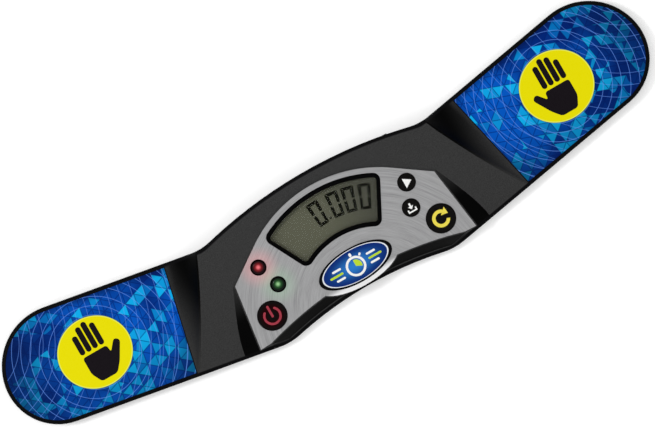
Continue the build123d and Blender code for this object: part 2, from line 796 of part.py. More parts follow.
large_chip, small_chip = (3.2, 1.6), (2.0, 1.25)
chip_parts = [((18, -16), large_chip), ((18, -20), large_chip), ((-26, -20), large_chip)]
chip_parts += [((24, -16), small_chip), ((24, -19), small_chip), ((-40, -14), small_chip)]
chip_parts += [((-26, -14), (3.2, 2.5)), ((40, -4), (3.5, 2.8))]
with BuildPart() as board_components:
    for place, (long_side, short_side) in chip_parts:
        with BuildSketch(below(board_under + 1.1)):
            with Locations(place):
                Rectangle(long_side, short_side)
        extrude(amount=1.1)
    with BuildSketch(below(board_under + 5.4)):
        with Locations((42, -18)):
            Circle(2.5)
    extrude(amount=5.4)
keep(board_components, "board_components")

with BuildPart() as board_screws:
    with BuildSketch(below(board_under + 1.3)):
        with Locations(*board_posts):
            Circle(board_screw_head)
            RectangleRounded(2.0, 0.5, 0.1, mode=Mode.SUBTRACT)
            RectangleRounded(0.5, 2.0, 0.1, mode=Mode.SUBTRACT)
    extrude(amount=0.8)
    with BuildSketch(below(board_under + 0.5)):
        with Locations(*board_posts):
            Circle(board_screw_head)
    extrude(amount=0.5)
    with BuildSketch(below(board_under)):
        with Locations(*board_posts):
            Circle(board_screw_radius)
    extrude(amount=board_thickness + 4.0)
keep(board_screws, "board_screws")

# ---------------------------------------------------------------- keys, their domes, and the lamps
cap_proud = 0.9
cap_rim_radius = 0.45
flange_gap = 0.1
flange_reach = 0.65
key_flange = 1.0
stem_share = 0.55  # the stem's radius as a share of the cap's
dome_share = (0.85, 0.5)  # the dome's radii at its foot and at its top
dome_top = 5.3
dome_foot = 0.6
dome_wall = (0.9, 0.6)


def key_parts(name, place, radius):
    """One key cap with its flange and stem, and the silicone dome under it."""
    with BuildPart() as cap:
        with BuildSketch(below(skin + flange_gap)):
            with Locations(place):
                Circle(radius)
        extrude(amount=skin + flange_gap + cap_proud)
        top_edge = cap.edges().sort_by(up_panel)[-1]
        fillet(top_edge, cap_rim_radius)
        with BuildSketch(below(skin + flange_gap + key_flange)):
            with Locations(place):
                Circle(radius + flange_reach)
        extrude(amount=key_flange)
        with BuildSketch(below(dome_top)):
            with Locations(place):
                Circle(radius * stem_share)
        extrude(amount=dome_top - skin - flange_gap - key_flange)
    keep(cap, f"{name}_key")
    wide, narrow = [radius * share for share in dome_share]
    outside = [(board_depth, wide), (board_depth - dome_foot, wide), (dome_top, narrow)]
    inside = [(board_depth, wide - dome_wall[0]), (board_depth - dome_foot, wide - dome_wall[0])]
    inside += [(dome_top + dome_wall[0], narrow - dome_wall[1])]
    with BuildPart() as dome:
        for depth, ring_radius in outside:
            with BuildSketch(below(depth)):
                with Locations(place):
                    Circle(ring_radius)
        loft(ruled=True)
        for depth, ring_radius in inside:
            with BuildSketch(below(depth)):
                with Locations(place):
                    Circle(ring_radius)
        loft(ruled=True, mode=Mode.SUBTRACT)
    keep(dome, f"{name}_dome")


for key_name, (key_place, key_radius) in keys.items():
    key_parts(key_name, key_place, key_radius)

led_radius = 2.5
led_top = 0.6
led_flange = 0.4
led_pin_radius = 0.3
lens_top = -1.5
lens_crest_radius = 1.3
lens_flange = (0.8, 0.8)  # how far it reaches past the ring, and its thickness
lens_foot = skin + fit_gap
for lamp_name, lamp_place in lamps.items():
    with BuildPart() as lens:
        with BuildSketch(below(lens_foot)):
            with Locations(lamp_place):
                Circle(lamp_lens_radius)
        extrude(amount=lens_foot - lens_top)
        crest = lens.edges().sort_by(up_panel)[-1]
        fillet(crest, lens_crest_radius)
        with BuildSketch(below(lens_foot + lens_flange[1])):
            with Locations(lamp_place):
                Circle(lamp_ring_radius + lens_flange[0])
        extrude(amount=lens_flange[1])
        with BuildSketch(below(lens_foot + lens_flange[1])):
            with Locations(lamp_place):
                Circle(led_radius + 0.2)
        extrude(amount=lens_foot + lens_flange[1] - led_top + 0.2, mode=Mode.SUBTRACT)
    keep(lens, f"{lamp_name}_lamp_lens")
    with BuildPart() as led:
        with BuildSketch(below(board_depth)):
            with Locations(lamp_place):
                Circle(led_radius + led_flange)
        extrude(amount=1.0)
        with BuildSketch(below(board_depth)):
            with Locations(lamp_place):
                Circle(led_radius)
        extrude(amount=board_depth - led_top)
        crest = led.edges().sort_by(up_panel)[-1]
        fillet(crest, led_radius - 0.1)
        with BuildSketch(below(board_under + 1.0)):
            with Locations(*led_pins(lamp_place)):
                Circle(led_pin_radius)
        extrude(amount=board_thickness + 1.0)
    keep(led, f"{lamp_name}_led")

ring_proud = 0.5
with BuildPart() as lamp_rings:
    with BuildSketch(below(skin)):
        with Locations(*lamps.values()):
            Circle(lamp_ring_radius)
            Circle(lamp_lens_radius + fit_gap, mode=Mode.SUBTRACT)
    extrude(amount=skin + ring_proud)
keep(lamp_rings, "lamp_rings")

badge_thickness = 0.4
badge_rim_radius = 0.2
badge_pin_depth = skin - 0.3
with BuildPart() as badge_plate:
    with BuildSketch(below(-fascia_proud)):
        with Locations(badge_centre):
            Ellipse(*badge_axes)
    extrude(amount=badge_thickness)
    fillet(badge_plate.edges().sort_by(up_panel)[-1], badge_rim_radius)
    with BuildSketch(below(badge_pin_depth)):
        with Locations(*badge_pins):
            Circle(badge_pin_radius)
    extrude(amount=badge_pin_depth + fascia_proud)
keep(badge_plate, "badge_plate")

# ---------------------------------------------------------------- touch pads and their leads
plate_thickness = 0.3
overlay_thickness = 0.35
pad_pieces = {"right": 1, "left": -1}
for pad_name, side in pad_pieces.items():
    with BuildPart() as sensor_plate:
        with BuildSketch(Plane.XY.offset(wing_z - pad_recess)):
            add(pad_outline(0.3))
            with Locations((-side * 250, 0)):
                Rectangle(500, 200, mode=Mode.SUBTRACT)
        extrude(amount=plate_thickness)
    keep(sensor_plate, f"{pad_name}_sensor_plate")
    with BuildPart() as pad_overlay:
        with BuildSketch(Plane.XY.offset(wing_z - pad_recess + plate_thickness)):
            add(pad_outline(0.1))
            with Locations((-side * 250, 0)):
                Rectangle(500, 200, mode=Mode.SUBTRACT)
        extrude(amount=overlay_thickness)
    keep(pad_overlay, f"{pad_name}_pad_overlay")
    hole_x = side * lead_hole[0]
    board_end = in_panel(side * 57.0, -14.0, board_under)
    board_near = in_panel(side * 57.0, -14.0, board_under + 4.4)
    with BuildPart() as sensor_lead:
        with BuildLine() as route:
            FilletPolyline(
                (hole_x, lead_hole[1], wing_z - pad_recess),
                (hole_x, lead_hole[1], 7.6),
                (side * 88, 2.0, 6.4),
                (side * 74, -8.0, 6.2),
                (board_near.X, board_near.Y, board_near.Z),
                (board_end.X, board_end.Y, board_end.Z),
                radius=[1.4, 5.0, 6.0, 1.6],
            )
        with BuildSketch(Plane(origin=route.line @ 0, z_dir=route.line % 0)):
            Circle(lead_radius)
        sweep(path=route.line)
    keep(sensor_lead, f"{pad_name}_sensor_lead")

# ---------------------------------------------------------------- battery leads, data jack and its lead
lead_routes = {
    "positive": (cell_rows[0], (38.0, 5.5), (36.5, 13.0, 8.8)),
    "negative": (cell_rows[1], (43.0, 5.5), (37.5, 16.5, 8.8)),
}
tab_end_x = bay_half + bay_wall + 1.0
for lead_name, (row_y, landing, turn) in lead_routes.items():
    end = in_panel(landing[0], landing[1], board_under)
    near = in_panel(landing[0], landing[1], board_under + 4.0)
    with BuildPart() as battery_lead:
        with BuildLine() as route:
            FilletPolyline(
                (tab_end_x, row_y, 12.2),
                (tab_end_x + 3.5, row_y, 12.2),
                turn,
                (near.X, near.Y, near.Z),
                (end.X, end.Y, end.Z),
                radius=[1.5, 2.5, 1.6],
            )
        with BuildSketch(Plane(origin=route.line @ 0, z_dir=route.line % 0)):
            Circle(lead_radius)
        sweep(path=route.line)
    keep(battery_lead, f"{lead_name}_battery_lead")

jack_front_y = 27.2
with BuildPart() as data_jack:
    with BuildSketch(Plane.XZ.offset(-jack_front_y)):
        with Locations((jack_x, jack_z)):
            RectangleRounded(8.0, 7.0, 0.6)
    extrude(amount=11.6)
    with BuildSketch(Plane.XZ.offset(-jack_front_y)):
        with Locations((jack_x, jack_z)):
            Circle(jack_nose_radius)
    extrude(amount=-(jack_back_y - jack_front_y + 0.1))
    with BuildSketch(Plane.XZ.offset(-(jack_back_y + 0.1))):
        with Locations((jack_x, jack_z)):
            Circle(jack_bore_radius)
    extrude(amount=12.0, mode=Mode.SUBTRACT)
keep(data_jack, "data_jack")

jack_end = in_panel(49.5, 5.5, board_under)
jack_near = in_panel(49.5, 5.5, board_under + 4.0)
with BuildPart() as jack_lead:
    with BuildLine() as route:
        FilletPolyline(
            (jack_x, jack_front_y - 11.6, 11.0),
            (jack_x, 12.4, 11.0),
            (jack_near.X, jack_near.Y, jack_near.Z),
            (jack_end.X, jack_end.Y, jack_end.Z),
            radius=[1.6, 1.6],
        )
    with BuildSketch(Plane(origin=route.line @ 0, z_dir=route.line % 0)):
        Circle(jack_lead_radius)
    sweep(path=route.line)
keep(jack_lead, "jack_lead")

# ---------------------------------------------------------------- screws, feet and mat sockets
with BuildPart() as housing_screws:
    with BuildSketch(Plane.XY.offset(head_seat_z)):
        with Locations(*screw_posts):
            Circle(screw_radius)
    extrude(amount=screw_tip_z - head_seat_z)
    with BuildSketch(Plane.XY.offset(head_seat_z - 1.5)):
        with Locations(*screw_posts):
            Circle(head_radius)
    extrude(amount=1.5)
    with BuildSketch(Plane.XY.offset(head_seat_z - 1.5)):
        with Locations(*screw_posts):
            Rectangle(2.4, 0.55)
            Rectangle(0.55, 2.4)
    extrude(amount=0.8, mode=Mode.SUBTRACT)
keep(housing_screws, "housing_screws")

with BuildPart() as rubber_feet:
    with BuildSketch():
        with Locations(*feet_places):
            Circle(foot_radius - 0.1)
    extrude(amount=floor_z + foot_pocket)
    fillet(rubber_feet.edges().group_by(Axis.Z)[0], 0.4)
keep(rubber_feet, "rubber_feet")

with BuildPart() as mat_sockets:
    with BuildSketch(Plane.XY.offset(floor_z)):
        with Locations(*socket_places):
            Circle(socket_radius - 0.05)
    extrude(amount=socket_bore_depth + 0.5)
    with BuildSketch(Plane.XY.offset(floor_z)):
        with Locations(*socket_places):
            Circle(socket_bore_radius)
    extrude(amount=socket_bore_depth, mode=Mode.SUBTRACT)
keep(mat_sockets, "mat_sockets")
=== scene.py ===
"""Looks for a hand-pad competition timer: its camera, studio, finishes, printed marks and silicone domes."""

# %% [markdown]
# # A hand-pad competition timer
# The real timer is a console with a display and four keys, between two flat wings that a player's hands
# rest on. Its moulded pieces already exist as CAD solids. A casing could be modelled again in Blender, but
# then each hole and fit would have to be measured anew. So this lesson loads the solids as a fixed frame,
# gives each of them a finish worked out by nodes, and adds what they leave out: the printed marks, the
# numerals of the display and the soft domes under the keys. Everything is in metres, in the frame of the
# solids: +X is the player's right, +Y the back of the timer and +Z up.

# %% Load the timer's solids
import math

import bmesh
import bpy
from mathutils import Matrix, Vector


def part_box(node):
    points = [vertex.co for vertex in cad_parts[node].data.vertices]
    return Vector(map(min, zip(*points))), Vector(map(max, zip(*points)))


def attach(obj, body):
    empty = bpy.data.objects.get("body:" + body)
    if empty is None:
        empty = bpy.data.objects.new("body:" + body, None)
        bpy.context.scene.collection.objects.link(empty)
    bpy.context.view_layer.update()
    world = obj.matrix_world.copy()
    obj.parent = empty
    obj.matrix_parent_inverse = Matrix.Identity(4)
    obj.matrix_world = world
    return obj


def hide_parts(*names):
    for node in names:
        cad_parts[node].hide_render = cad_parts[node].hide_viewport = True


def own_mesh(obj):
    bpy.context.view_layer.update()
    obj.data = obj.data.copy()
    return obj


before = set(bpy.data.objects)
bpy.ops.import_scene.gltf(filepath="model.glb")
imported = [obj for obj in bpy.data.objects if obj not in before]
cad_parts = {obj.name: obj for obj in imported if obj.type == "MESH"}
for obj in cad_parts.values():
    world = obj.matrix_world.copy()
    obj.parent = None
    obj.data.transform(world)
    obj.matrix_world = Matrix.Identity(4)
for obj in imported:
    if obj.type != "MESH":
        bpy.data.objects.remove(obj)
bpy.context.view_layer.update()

MM = 0.001

# %% [markdown]
# ## Where things are
# The real panel leans towards the player, and each wing turns away from the console by ten degrees. Every
# mark could be given its own place and angle, but a few named frames are easier to keep true. Marks on the
# panel are drawn flat, in the panel's own millimetres, and then tilted. The display and the arch of the
# fascia curve about one point in front of the panel.

# %% Name the places
PANEL_TILT = math.radians(7.5)
PANEL_ORIGIN = Vector((0, 0, 21.85)) * MM
FACE_CENTRE = (0.0, -47.7)  # on the panel, in millimetres
WING_ANGLE = math.radians(10)
PAD_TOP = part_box("right_pad_overlay")[1].z
panel_frame = Matrix.Translation(PANEL_ORIGIN) @ Matrix.Rotation(PANEL_TILT, 4, "X")


def on_panel(x, y, rise=0.0):
    """The point at x, y of the panel's own axes and this far above it, all in millimetres."""
    return panel_frame @ (Vector((x, y, rise)) * MM)


print("middle of the panel in mm:", [round(v / MM, 2) for v in on_panel(0, 0)])

# %% [markdown]
# ## Camera
# The timer is seen from straight above and turned by thirty degrees, as on a catalogue page. An
# orthographic camera would show its outline with no perspective at all. A long lens far away comes close to
# that, and is chosen because it is still a real lens, which shows a little of the sides.

# %% Set the camera
VIEW_TURN = math.radians(-30)
VIEW_WIDTH = 353.9 * MM
VIEW_CENTRE = Vector((-1.34, 4.8, 12.0)) * MM
LENS = 200.0
SENSOR = 36.0
FARTHEST = 60.0


def place_object(name, data):
    """A new object in the scene that holds this data."""
    item = bpy.data.objects.new(name, data)
    bpy.context.scene.collection.objects.link(item)
    return item


camera_data = bpy.data.cameras.new("catalogue_camera")
camera_data.lens = LENS
camera_data.sensor_width = SENSOR
camera_data.clip_end = FARTHEST
camera = place_object("catalogue_camera", camera_data)
camera.location = VIEW_CENTRE + Vector((0, 0, VIEW_WIDTH * LENS / SENSOR))
camera.rotation_euler = (0, 0, VIEW_TURN)
bpy.context.scene.camera = camera
bpy.context.scene.view_settings.view_transform = "Standard"
print("camera height in m:", round(camera.location.z, 3))

# %% [markdown]
# ## Small tools for node trees
# A finish can be wired by hand in the shader editor, but a script has to be read as well. So a few
# functions let a node tree read like a formula, from the inside out. `add` makes a node, sets its options
# and fills its sockets with numbers or with other nodes' outputs. `calc` is one step of arithmetic, and the
# commonest steps have names.

# %% Make the arithmetic helpers
def fill(tree, node, inputs):
    """Fills a node's sockets with plain values or with other nodes' outputs."""
    for name, value in inputs.items():
        if isinstance(value, bpy.types.NodeSocket):
            tree.links.new(value, node.inputs[name])
        else:
            node.inputs[name].default_value = value


def add(tree, kind, inputs=None, **options):
    """A new node with its options set and its sockets filled."""
    node = tree.nodes.new("ShaderNode" + kind)
    for name, value in options.items():
        setattr(node, name, value)
    fill(tree, node, inputs or {})
    return node


def calc(tree, operation, *values):
    """The result of one step of arithmetic on numbers or sockets."""
    return add(tree, "Math", dict(enumerate(values)), operation=operation).outputs[0]


def plus(tree, first, second):
    """The sum of two values."""
    return calc(tree, "ADD", first, second)


def minus(tree, first, second):
    """The first value less the second."""
    return calc(tree, "SUBTRACT", first, second)


def times(tree, first, second):
    """The product of two values."""
    return calc(tree, "MULTIPLY", first, second)


def over(tree, first, second):
    """The first value divided by the second."""
    return calc(tree, "DIVIDE", first, second)


def larger(tree, first, second):
    """The larger of two values."""
    return calc(tree, "MAXIMUM", first, second)


def length_of(tree, x, y):
    """The length of a flat arrow with these two parts."""
    return calc(tree, "SQRT", plus(tree, times(tree, x, x), times(tree, y, y)))


print("helpers for", bpy.app.version_string)

# %% Make the helpers for places and colours
def place_of(tree):
    """The shaded point, in millimetres."""
    position = add(tree, "TexCoord").outputs["Object"]
    return add(tree, "VectorMath", {0: position, 3: 1 / MM}, operation="SCALE").outputs[0]


def parts_of(tree, vector):
    """The three parts of a vector."""
    return add(tree, "SeparateXYZ", {0: vector}).outputs


def distance_from(tree, place, point):
    """How far the shaded point is from a point of the timer, in millimetres."""
    return add(tree, "VectorMath", {0: place, 1: point / MM}, operation="DISTANCE").outputs["Value"]


def ramp(tree, value, low, high, start=0.0, end=1.0):
    """A smooth step of value from low to high, put out between start and end."""
    inputs = {"Value": value, "From Min": low, "From Max": high, "To Min": start, "To Max": end}
    return add(tree, "MapRange", inputs, interpolation_type="SMOOTHSTEP").outputs["Result"]


def noise(tree, place, scale, detail, **more):
    """Cloudy noise from 0 to 1, finer with more detail."""
    inputs = {"Vector": place, "Scale": scale, "Detail": detail, **more}
    return add(tree, "TexNoise", inputs).outputs["Fac"]


def mix(tree, share, first, second, mode="MIX"):
    """Two colours mixed by a share from 0 to 1."""
    return add(tree, "Mix", {0: share, 6: first, 7: second}, data_type="RGBA", blend_type=mode).outputs[2]


def colour(red, green, blue):
    """A colour given by its screen values from 0 to 255, as the linear values that shaders use."""
    levels = [v / 255 for v in (red, green, blue)]
    return tuple(v / 12.92 if v <= 0.04045 else ((v + 0.055) / 1.055) ** 2.4 for v in levels) + (1.0,)


print("middle grey in linear light:", round(colour(128, 128, 128)[0], 3))

# %% [markdown]
# ## Effects that many finishes share
# Moulded plastic, foil and rubber differ in colour, but on a real timer they share a few surface effects: a
# fine grain left by the mould, the faint cloudiness that handling leaves, and slightly brighter edges. The
# same nodes could be copied into every material. Each effect is a node group instead, built once with named
# inputs, so that a material only places it with its own values, and a change reaches all of them.

# %% Build the mould grain
def new_group(name, inputs, outputs):
    """An empty node group, what it is given and its end. A number is a Float's default, None a Vector."""
    group = bpy.data.node_groups.new(name, "ShaderNodeTree")
    for title, default in inputs.items():
        kind = "NodeSocketVector" if default is None else "NodeSocketFloat"
        socket = group.interface.new_socket(title, in_out="INPUT", socket_type=kind)
        if default is not None:
            socket.default_value = default
    for title in outputs:
        group.interface.new_socket(title, in_out="OUTPUT", socket_type="NodeSocketFloat")
    return group, group.nodes.new("NodeGroupInput").outputs, group.nodes.new("NodeGroupOutput")


grain_group, given, end = new_group(
    "mould_grain", {"Place": None, "Size": 0.3, "Unevenness": 0.5}, ("Height", "Speckle")
)
per_size = over(grain_group, 1.0, given["Size"])
pits = add(
    grain_group, "TexVoronoi", {"Vector": given["Place"], "Scale": per_size, "Randomness": 1.0}, feature="F1"
).outputs["Distance"]
cloud = noise(grain_group, given["Place"], per_size, 3.0, Roughness=0.6)
wave = times(grain_group, minus(grain_group, cloud, 0.5), given["Unevenness"])
speckle = ramp(grain_group, cloud, 0.35, 0.65)
fill(grain_group, end, {"Height": plus(grain_group, pits, wave), "Speckle": speckle})
print("group:", grain_group.name)

# %% Build the handling marks
SPECK_SCALE = 2.2

handling_group, given, end = new_group(
    "handling_marks", {"Place": None, "Size": 18.0, "Amount": 0.3}, ("Cloud", "Dust")
)
patches = noise(handling_group, given["Place"], over(handling_group, 1.0, given["Size"]), 5.0, Distortion=0.8)
specks = noise(handling_group, given["Place"], SPECK_SCALE, 2.0)
cloud = times(handling_group, ramp(handling_group, patches, 0.38, 0.7), given["Amount"])
dust = times(handling_group, ramp(handling_group, specks, 0.66, 0.74), given["Amount"])
fill(handling_group, end, {"Cloud": cloud, "Dust": dust})
print("group:", handling_group.name)

# %% Build the worn edges
EDGE_AGREEMENT = (0.99, 0.86)  # of a rounded normal with the true one, on a flat and on an edge

edge_group, given, end = new_group("worn_edges", {"Width": 0.4}, ("Edge",))
rounded = add(edge_group, "Bevel", {"Radius": times(edge_group, given["Width"], MM)}, samples=4).outputs[0]
true_normal = add(edge_group, "NewGeometry").outputs["Normal"]
agreement = add(edge_group, "VectorMath", {0: rounded, 1: true_normal}, operation="DOT_PRODUCT")
fill(edge_group, end, {"Edge": ramp(edge_group, agreement.outputs["Value"], *EDGE_AGREEMENT)})
print("group:", edge_group.name)

# %% [markdown]
# ## A recipe for moulded pieces
# Most solids are moulded plastic, rubber or stamped metal. On a real one the colour isn't quite even, the
# roughness varies with handling, the relief is fine and the edges are slightly lighter. Each material could
# wire all this for itself. One function does it for all of them, and each piece gives its own colours and
# numbers. Values that are the same everywhere on a piece are set on the shader's own sockets.

# %% Make the recipe
SPECKLE_SHARE = 0.5
DUST_SHARE = 0.5
EDGE_WIDTH = 0.35
CLOUD_SHARE = 0.3
GRAIN_STRENGTH = 0.6


def new_material(name):
    """A node material emptied down to its shader: the tree, the shader and the material."""
    material = bpy.data.materials.new(name)
    material.use_nodes = True
    tree = material.node_tree
    return tree, tree.nodes["Principled BSDF"], material


def use_group(tree, group, **inputs):
    """The outputs of a group placed in a tree."""
    return add(tree, "Group", inputs, node_tree=group).outputs


def clouded(tree, marks, share, rough):
    """A roughness that rises where hands have left their cloud."""
    return plus(tree, times(tree, marks["Cloud"], share), rough)


def relief_of(tree, height, strength, depth):
    """The normal of a fine relief of this depth in millimetres."""
    return add(tree, "Bump", {"Height": height, "Strength": strength, "Distance": depth * MM}).outputs[0]


def moulded(name, base, light, rough, grain=0.3, relief=0.02, edge=0.25, cloud=0.3, **sockets):
    """A moulded or stamped finish: two shades of one colour, with grain, handling marks and lighter edges."""
    tree, shader, material = new_material(name)
    place = place_of(tree)
    fine = use_group(tree, grain_group, Place=place, Size=grain)
    marks = use_group(tree, handling_group, Place=place, Amount=cloud)
    worn = use_group(tree, edge_group, Width=EDGE_WIDTH)["Edge"]
    shade = mix(tree, times(tree, fine["Speckle"], SPECKLE_SHARE), colour(*base), colour(*light))
    shade = mix(tree, times(tree, marks["Dust"], DUST_SHARE), shade, colour(*light))
    shade = mix(tree, times(tree, worn, edge), shade, colour(*light))
    roughness = clouded(tree, marks, CLOUD_SHARE, rough)
    normal = relief_of(tree, fine["Height"], GRAIN_STRENGTH, relief)
    fill(tree, shader, {"Base Color": shade, "Roughness": roughness, "Normal": normal, **sockets})
    return material


def dress(material, *nodes):
    """Gives solids their finish."""
    for node in nodes:
        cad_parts[node].material_slots[0].material = material
    print(material.name, "on", ", ".join(nodes))


print("a recipe of", grain_group.name, handling_group.name, edge_group.name)

# %% [markdown]
# ## Studio
# A catalogue page needs little: a white floor that keeps a soft shadow, an even sky, and one broad soft
# lamp high overhead. More lamps would be easy to add, but black satin plastic has almost no colour of its
# own, so its form is drawn by what it mirrors. The overhead lamp lights level faces a little more than the
# slopes, and the deeper dark of the slopes is painted shade on the casing. A small second lamp throws the
# short shadow. A white page comes from the floor's own faint glow. Only direct sight, mirror images and
# glass show that glow, so it hardly lights the timer.

# %% Light the studio
SKY_STRENGTH = 0.40
OVERHEAD_LAMP = {"place": (0, 0, 3.2), "size": 3.0, "watts": 56.0}
SHADOW_LAMP = {"place": (-0.80, 0.50, 1.75), "size": 0.30, "watts": 10.0}

world = bpy.data.worlds.new("even_sky")
world.use_nodes = True
bpy.context.scene.world = world
world.node_tree.nodes["Background"].inputs["Color"].default_value = (1, 1, 1, 1)
world.node_tree.nodes["Background"].inputs["Strength"].default_value = SKY_STRENGTH


def soft_lamp(name, place, size, watts):
    """A square lamp aimed at the middle of the timer."""
    data = bpy.data.lights.new(name, "AREA")
    data.size = size
    data.energy = watts
    lamp = place_object(name, data)
    lamp.location = place
    lamp.rotation_euler = (-Vector(place)).to_track_quat("-Z", "Y").to_euler()
    return lamp


overhead = soft_lamp("overhead_lamp", **OVERHEAD_LAMP)
overhead.visible_glossy = False
shadow_lamp = soft_lamp("shadow_lamp", **SHADOW_LAMP)
print("lamps:", overhead.name, shadow_lamp.name)

# %% Lay the floor
FLOOR_RADIUS = 12.0
FLOOR_SEGMENTS = 96
FLOOR_WHITE = (0.93, 0.93, 0.93, 1.0)
FLOOR_LIFT = 0.22

bm = bmesh.new()
bmesh.ops.create_circle(bm, cap_ends=True, radius=FLOOR_RADIUS, segments=FLOOR_SEGMENTS)
floor_mesh = bpy.data.meshes.new("studio_floor")
bm.to_mesh(floor_mesh)
bm.free()
tree, shader, floor_paint = new_material("floor_paint")
rays = add(tree, "LightPath").outputs
seen = larger(tree, rays["Is Camera Ray"], rays["Is Glossy Ray"])
seen = larger(tree, seen, rays["Is Transmission Ray"])
fill(tree, shader, {"Base Color": FLOOR_WHITE, "Roughness": 0.9, "Specular IOR Level": 0.1})
fill(tree, shader, {"Emission Color": (1, 1, 1, 1), "Emission Strength": times(tree, seen, FLOOR_LIFT)})
floor_mesh.materials.append(floor_paint)
studio_floor = place_object("studio_floor", floor_mesh)
print("floor radius in m:", FLOOR_RADIUS)

# %% [markdown]
# ## The casing's plastic
# The upper shell is one black moulding. Its deck has a fine spark texture that looks dark grey, while a band
# along the rim, the frame round each pad and the slopes are smooth. Their near black is painted shade, of the
# rounded rim and the pad's edge and of the leaning slopes. On the slope beside each pad and on those at the
# back the painted shade eases into grey. These zones could be painted on an image map. Here they come from
# the
# shape itself: from how a face leans, and from how far a point is from the outline. The outline is written as
# distances from its arcs and straight edges, joined smoothly where they meet, and the nearest one counts.

# %% Measure the distance from the outline
BACK_ARC = (34.35, 265.0)  # where the arc crosses the middle line, and its radius
FRONT_ARC = (-36.15, 210.0)
WING_BACK_AT = (120.0, 34.85)  # a point on the wing's straight back edge
WING_FRONT_AT = (120.0, -30.2)
CORNER_SOFTNESS = 2.2
WING_SINE = math.sin(WING_ANGLE)
WING_COSINE = math.cos(WING_ANGLE)


def across_wing(x, y):
    """How far a given point lies across the wing."""
    return y * WING_COSINE - x * WING_SINE


def from_arc_centre(tree, x, y, apex, radius):
    """How far the shaded point is from the centre of an arc that bulges towards the back."""
    return length_of(tree, x, minus(tree, y, apex - radius))


outline_group, given, end = new_group("rim_distance", {"Place": None}, ("Distance", "Along", "Across"))
parts = parts_of(outline_group, given["Place"])
x, y = calc(outline_group, "ABSOLUTE", parts[0]), parts[1]
along = plus(outline_group, times(outline_group, x, WING_COSINE), times(outline_group, y, WING_SINE))
across = minus(outline_group, times(outline_group, y, WING_COSINE), times(outline_group, x, WING_SINE))
to_back_arc = minus(outline_group, BACK_ARC[1], from_arc_centre(outline_group, x, y, *BACK_ARC))
to_front_arc = minus(outline_group, from_arc_centre(outline_group, x, y, *FRONT_ARC), FRONT_ARC[1])
to_wing_back = minus(outline_group, across_wing(*WING_BACK_AT), across)
to_wing_front = minus(outline_group, across, across_wing(*WING_FRONT_AT))
to_back = calc(outline_group, "SMOOTH_MAX", to_back_arc, to_wing_back, CORNER_SOFTNESS)
to_front = calc(outline_group, "SMOOTH_MIN", to_front_arc, to_wing_front, CORNER_SOFTNESS)
nearest = calc(outline_group, "MINIMUM", to_back, to_front)
fill(outline_group, end, {"Distance": nearest, "Along": along, "Across": across})
print("group:", outline_group.name)

# %% Mask the casing's zones
# The rim's band and the pad's border are painted near black, a painted shade of their rounded edges.
RIM_BAND = (2.4, 1.6)  # from the outline: where the rim's band begins, and where it is full
PAD_START = 94.9  # where the pad's inner edge lies along the wing
PAD_LINE_ACROSS = -18.0  # how far across the wing it lies there, for it leans a little
PAD_LINE_SLOPE = math.tan(math.radians(2.7))
PAD_BORDER = (PAD_START - 0.5, PAD_START - 0.1)  # where its border begins, and where it is full
# Slopes are painted darker the more their faces lean, a painted shade.
SIDE_LEAN = (0.04, 0.26)  # the sideways part of a face's normal, on the deck and on a slope
STEEP_LEAN = (0.92, 0.76)  # the same for its upward part
HOLLOW_SKEW = 0.2  # the grey begins this much sooner for each millimetre in front of the next value
HOLLOW_SKEW_FROM = 15.0
# Where the slopes' painted shade eases to grey: the two places between which it grows, and its shares there.
HOLLOW = (81.0, 104.0, 0.0, 0.85)
HOLLOW_FRONT = (22.0, -2.0, 0.6, 1.0)
BACK_SLOPE = (-20.0, 2.0, 0.0, 0.65)
BACK_SLOPE_END = (74.0, 70.0, 0.0, 1.0)

tree, shader, casing_plastic = new_material("casing_plastic")
place = place_of(tree)
y = parts_of(tree, place)[1]
outline = use_group(tree, outline_group, Place=place)
pad_line = times(tree, minus(tree, outline["Across"], PAD_LINE_ACROSS), PAD_LINE_SLOPE)
round_pad = ramp(tree, plus(tree, outline["Along"], pad_line), *PAD_BORDER)
shaded_border = larger(tree, ramp(tree, outline["Distance"], *RIM_BAND), round_pad)
facing = parts_of(tree, add(tree, "NewGeometry").outputs["Normal"])
leaning = larger(
    tree, ramp(tree, calc(tree, "ABSOLUTE", facing[0]), *SIDE_LEAN), ramp(tree, facing[2], *STEEP_LEAN)
)
skewed = plus(tree, outline["Along"], times(tree, minus(tree, HOLLOW_SKEW_FROM, y), HOLLOW_SKEW))
hollow = times(tree, ramp(tree, skewed, *HOLLOW), ramp(tree, y, *HOLLOW_FRONT))
back_slope_light = times(tree, ramp(tree, y, *BACK_SLOPE), ramp(tree, outline["Along"], *BACK_SLOPE_END))
shaded_slope = times(tree, leaning, minus(tree, 1.0, larger(tree, hollow, back_slope_light)))
smooth = larger(tree, shaded_border, shaded_slope)
print("pad's edge leans by, in degrees:", round(math.degrees(math.atan(PAD_LINE_SLOPE)), 1))

# %% Mix the casing's plastic
DECK_GREY = colour(46, 46, 46)
DECK_SPARK = colour(60, 60, 60)
RIM_SHADE_BLACK = colour(12, 12, 13)
SLOPE_SHADE_BLACK = colour(5, 5, 5)
SATIN_IOR = 1.08  # low, because satin black mirrors little
DECK_TO_SMOOTH = (0.52, 0.34)  # the roughness of the deck, and of the smooth zones
GRIT_TO_SMOOTH = (1.0, 0.15)  # the same for the relief

fine = use_group(tree, grain_group, Place=place, Size=0.35)
marks = use_group(tree, handling_group, Place=place, Size=30.0, Amount=0.25)
shade = mix(tree, fine["Speckle"], DECK_GREY, DECK_SPARK)
shade = mix(tree, times(tree, marks["Dust"], DUST_SHARE), shade, DECK_SPARK)
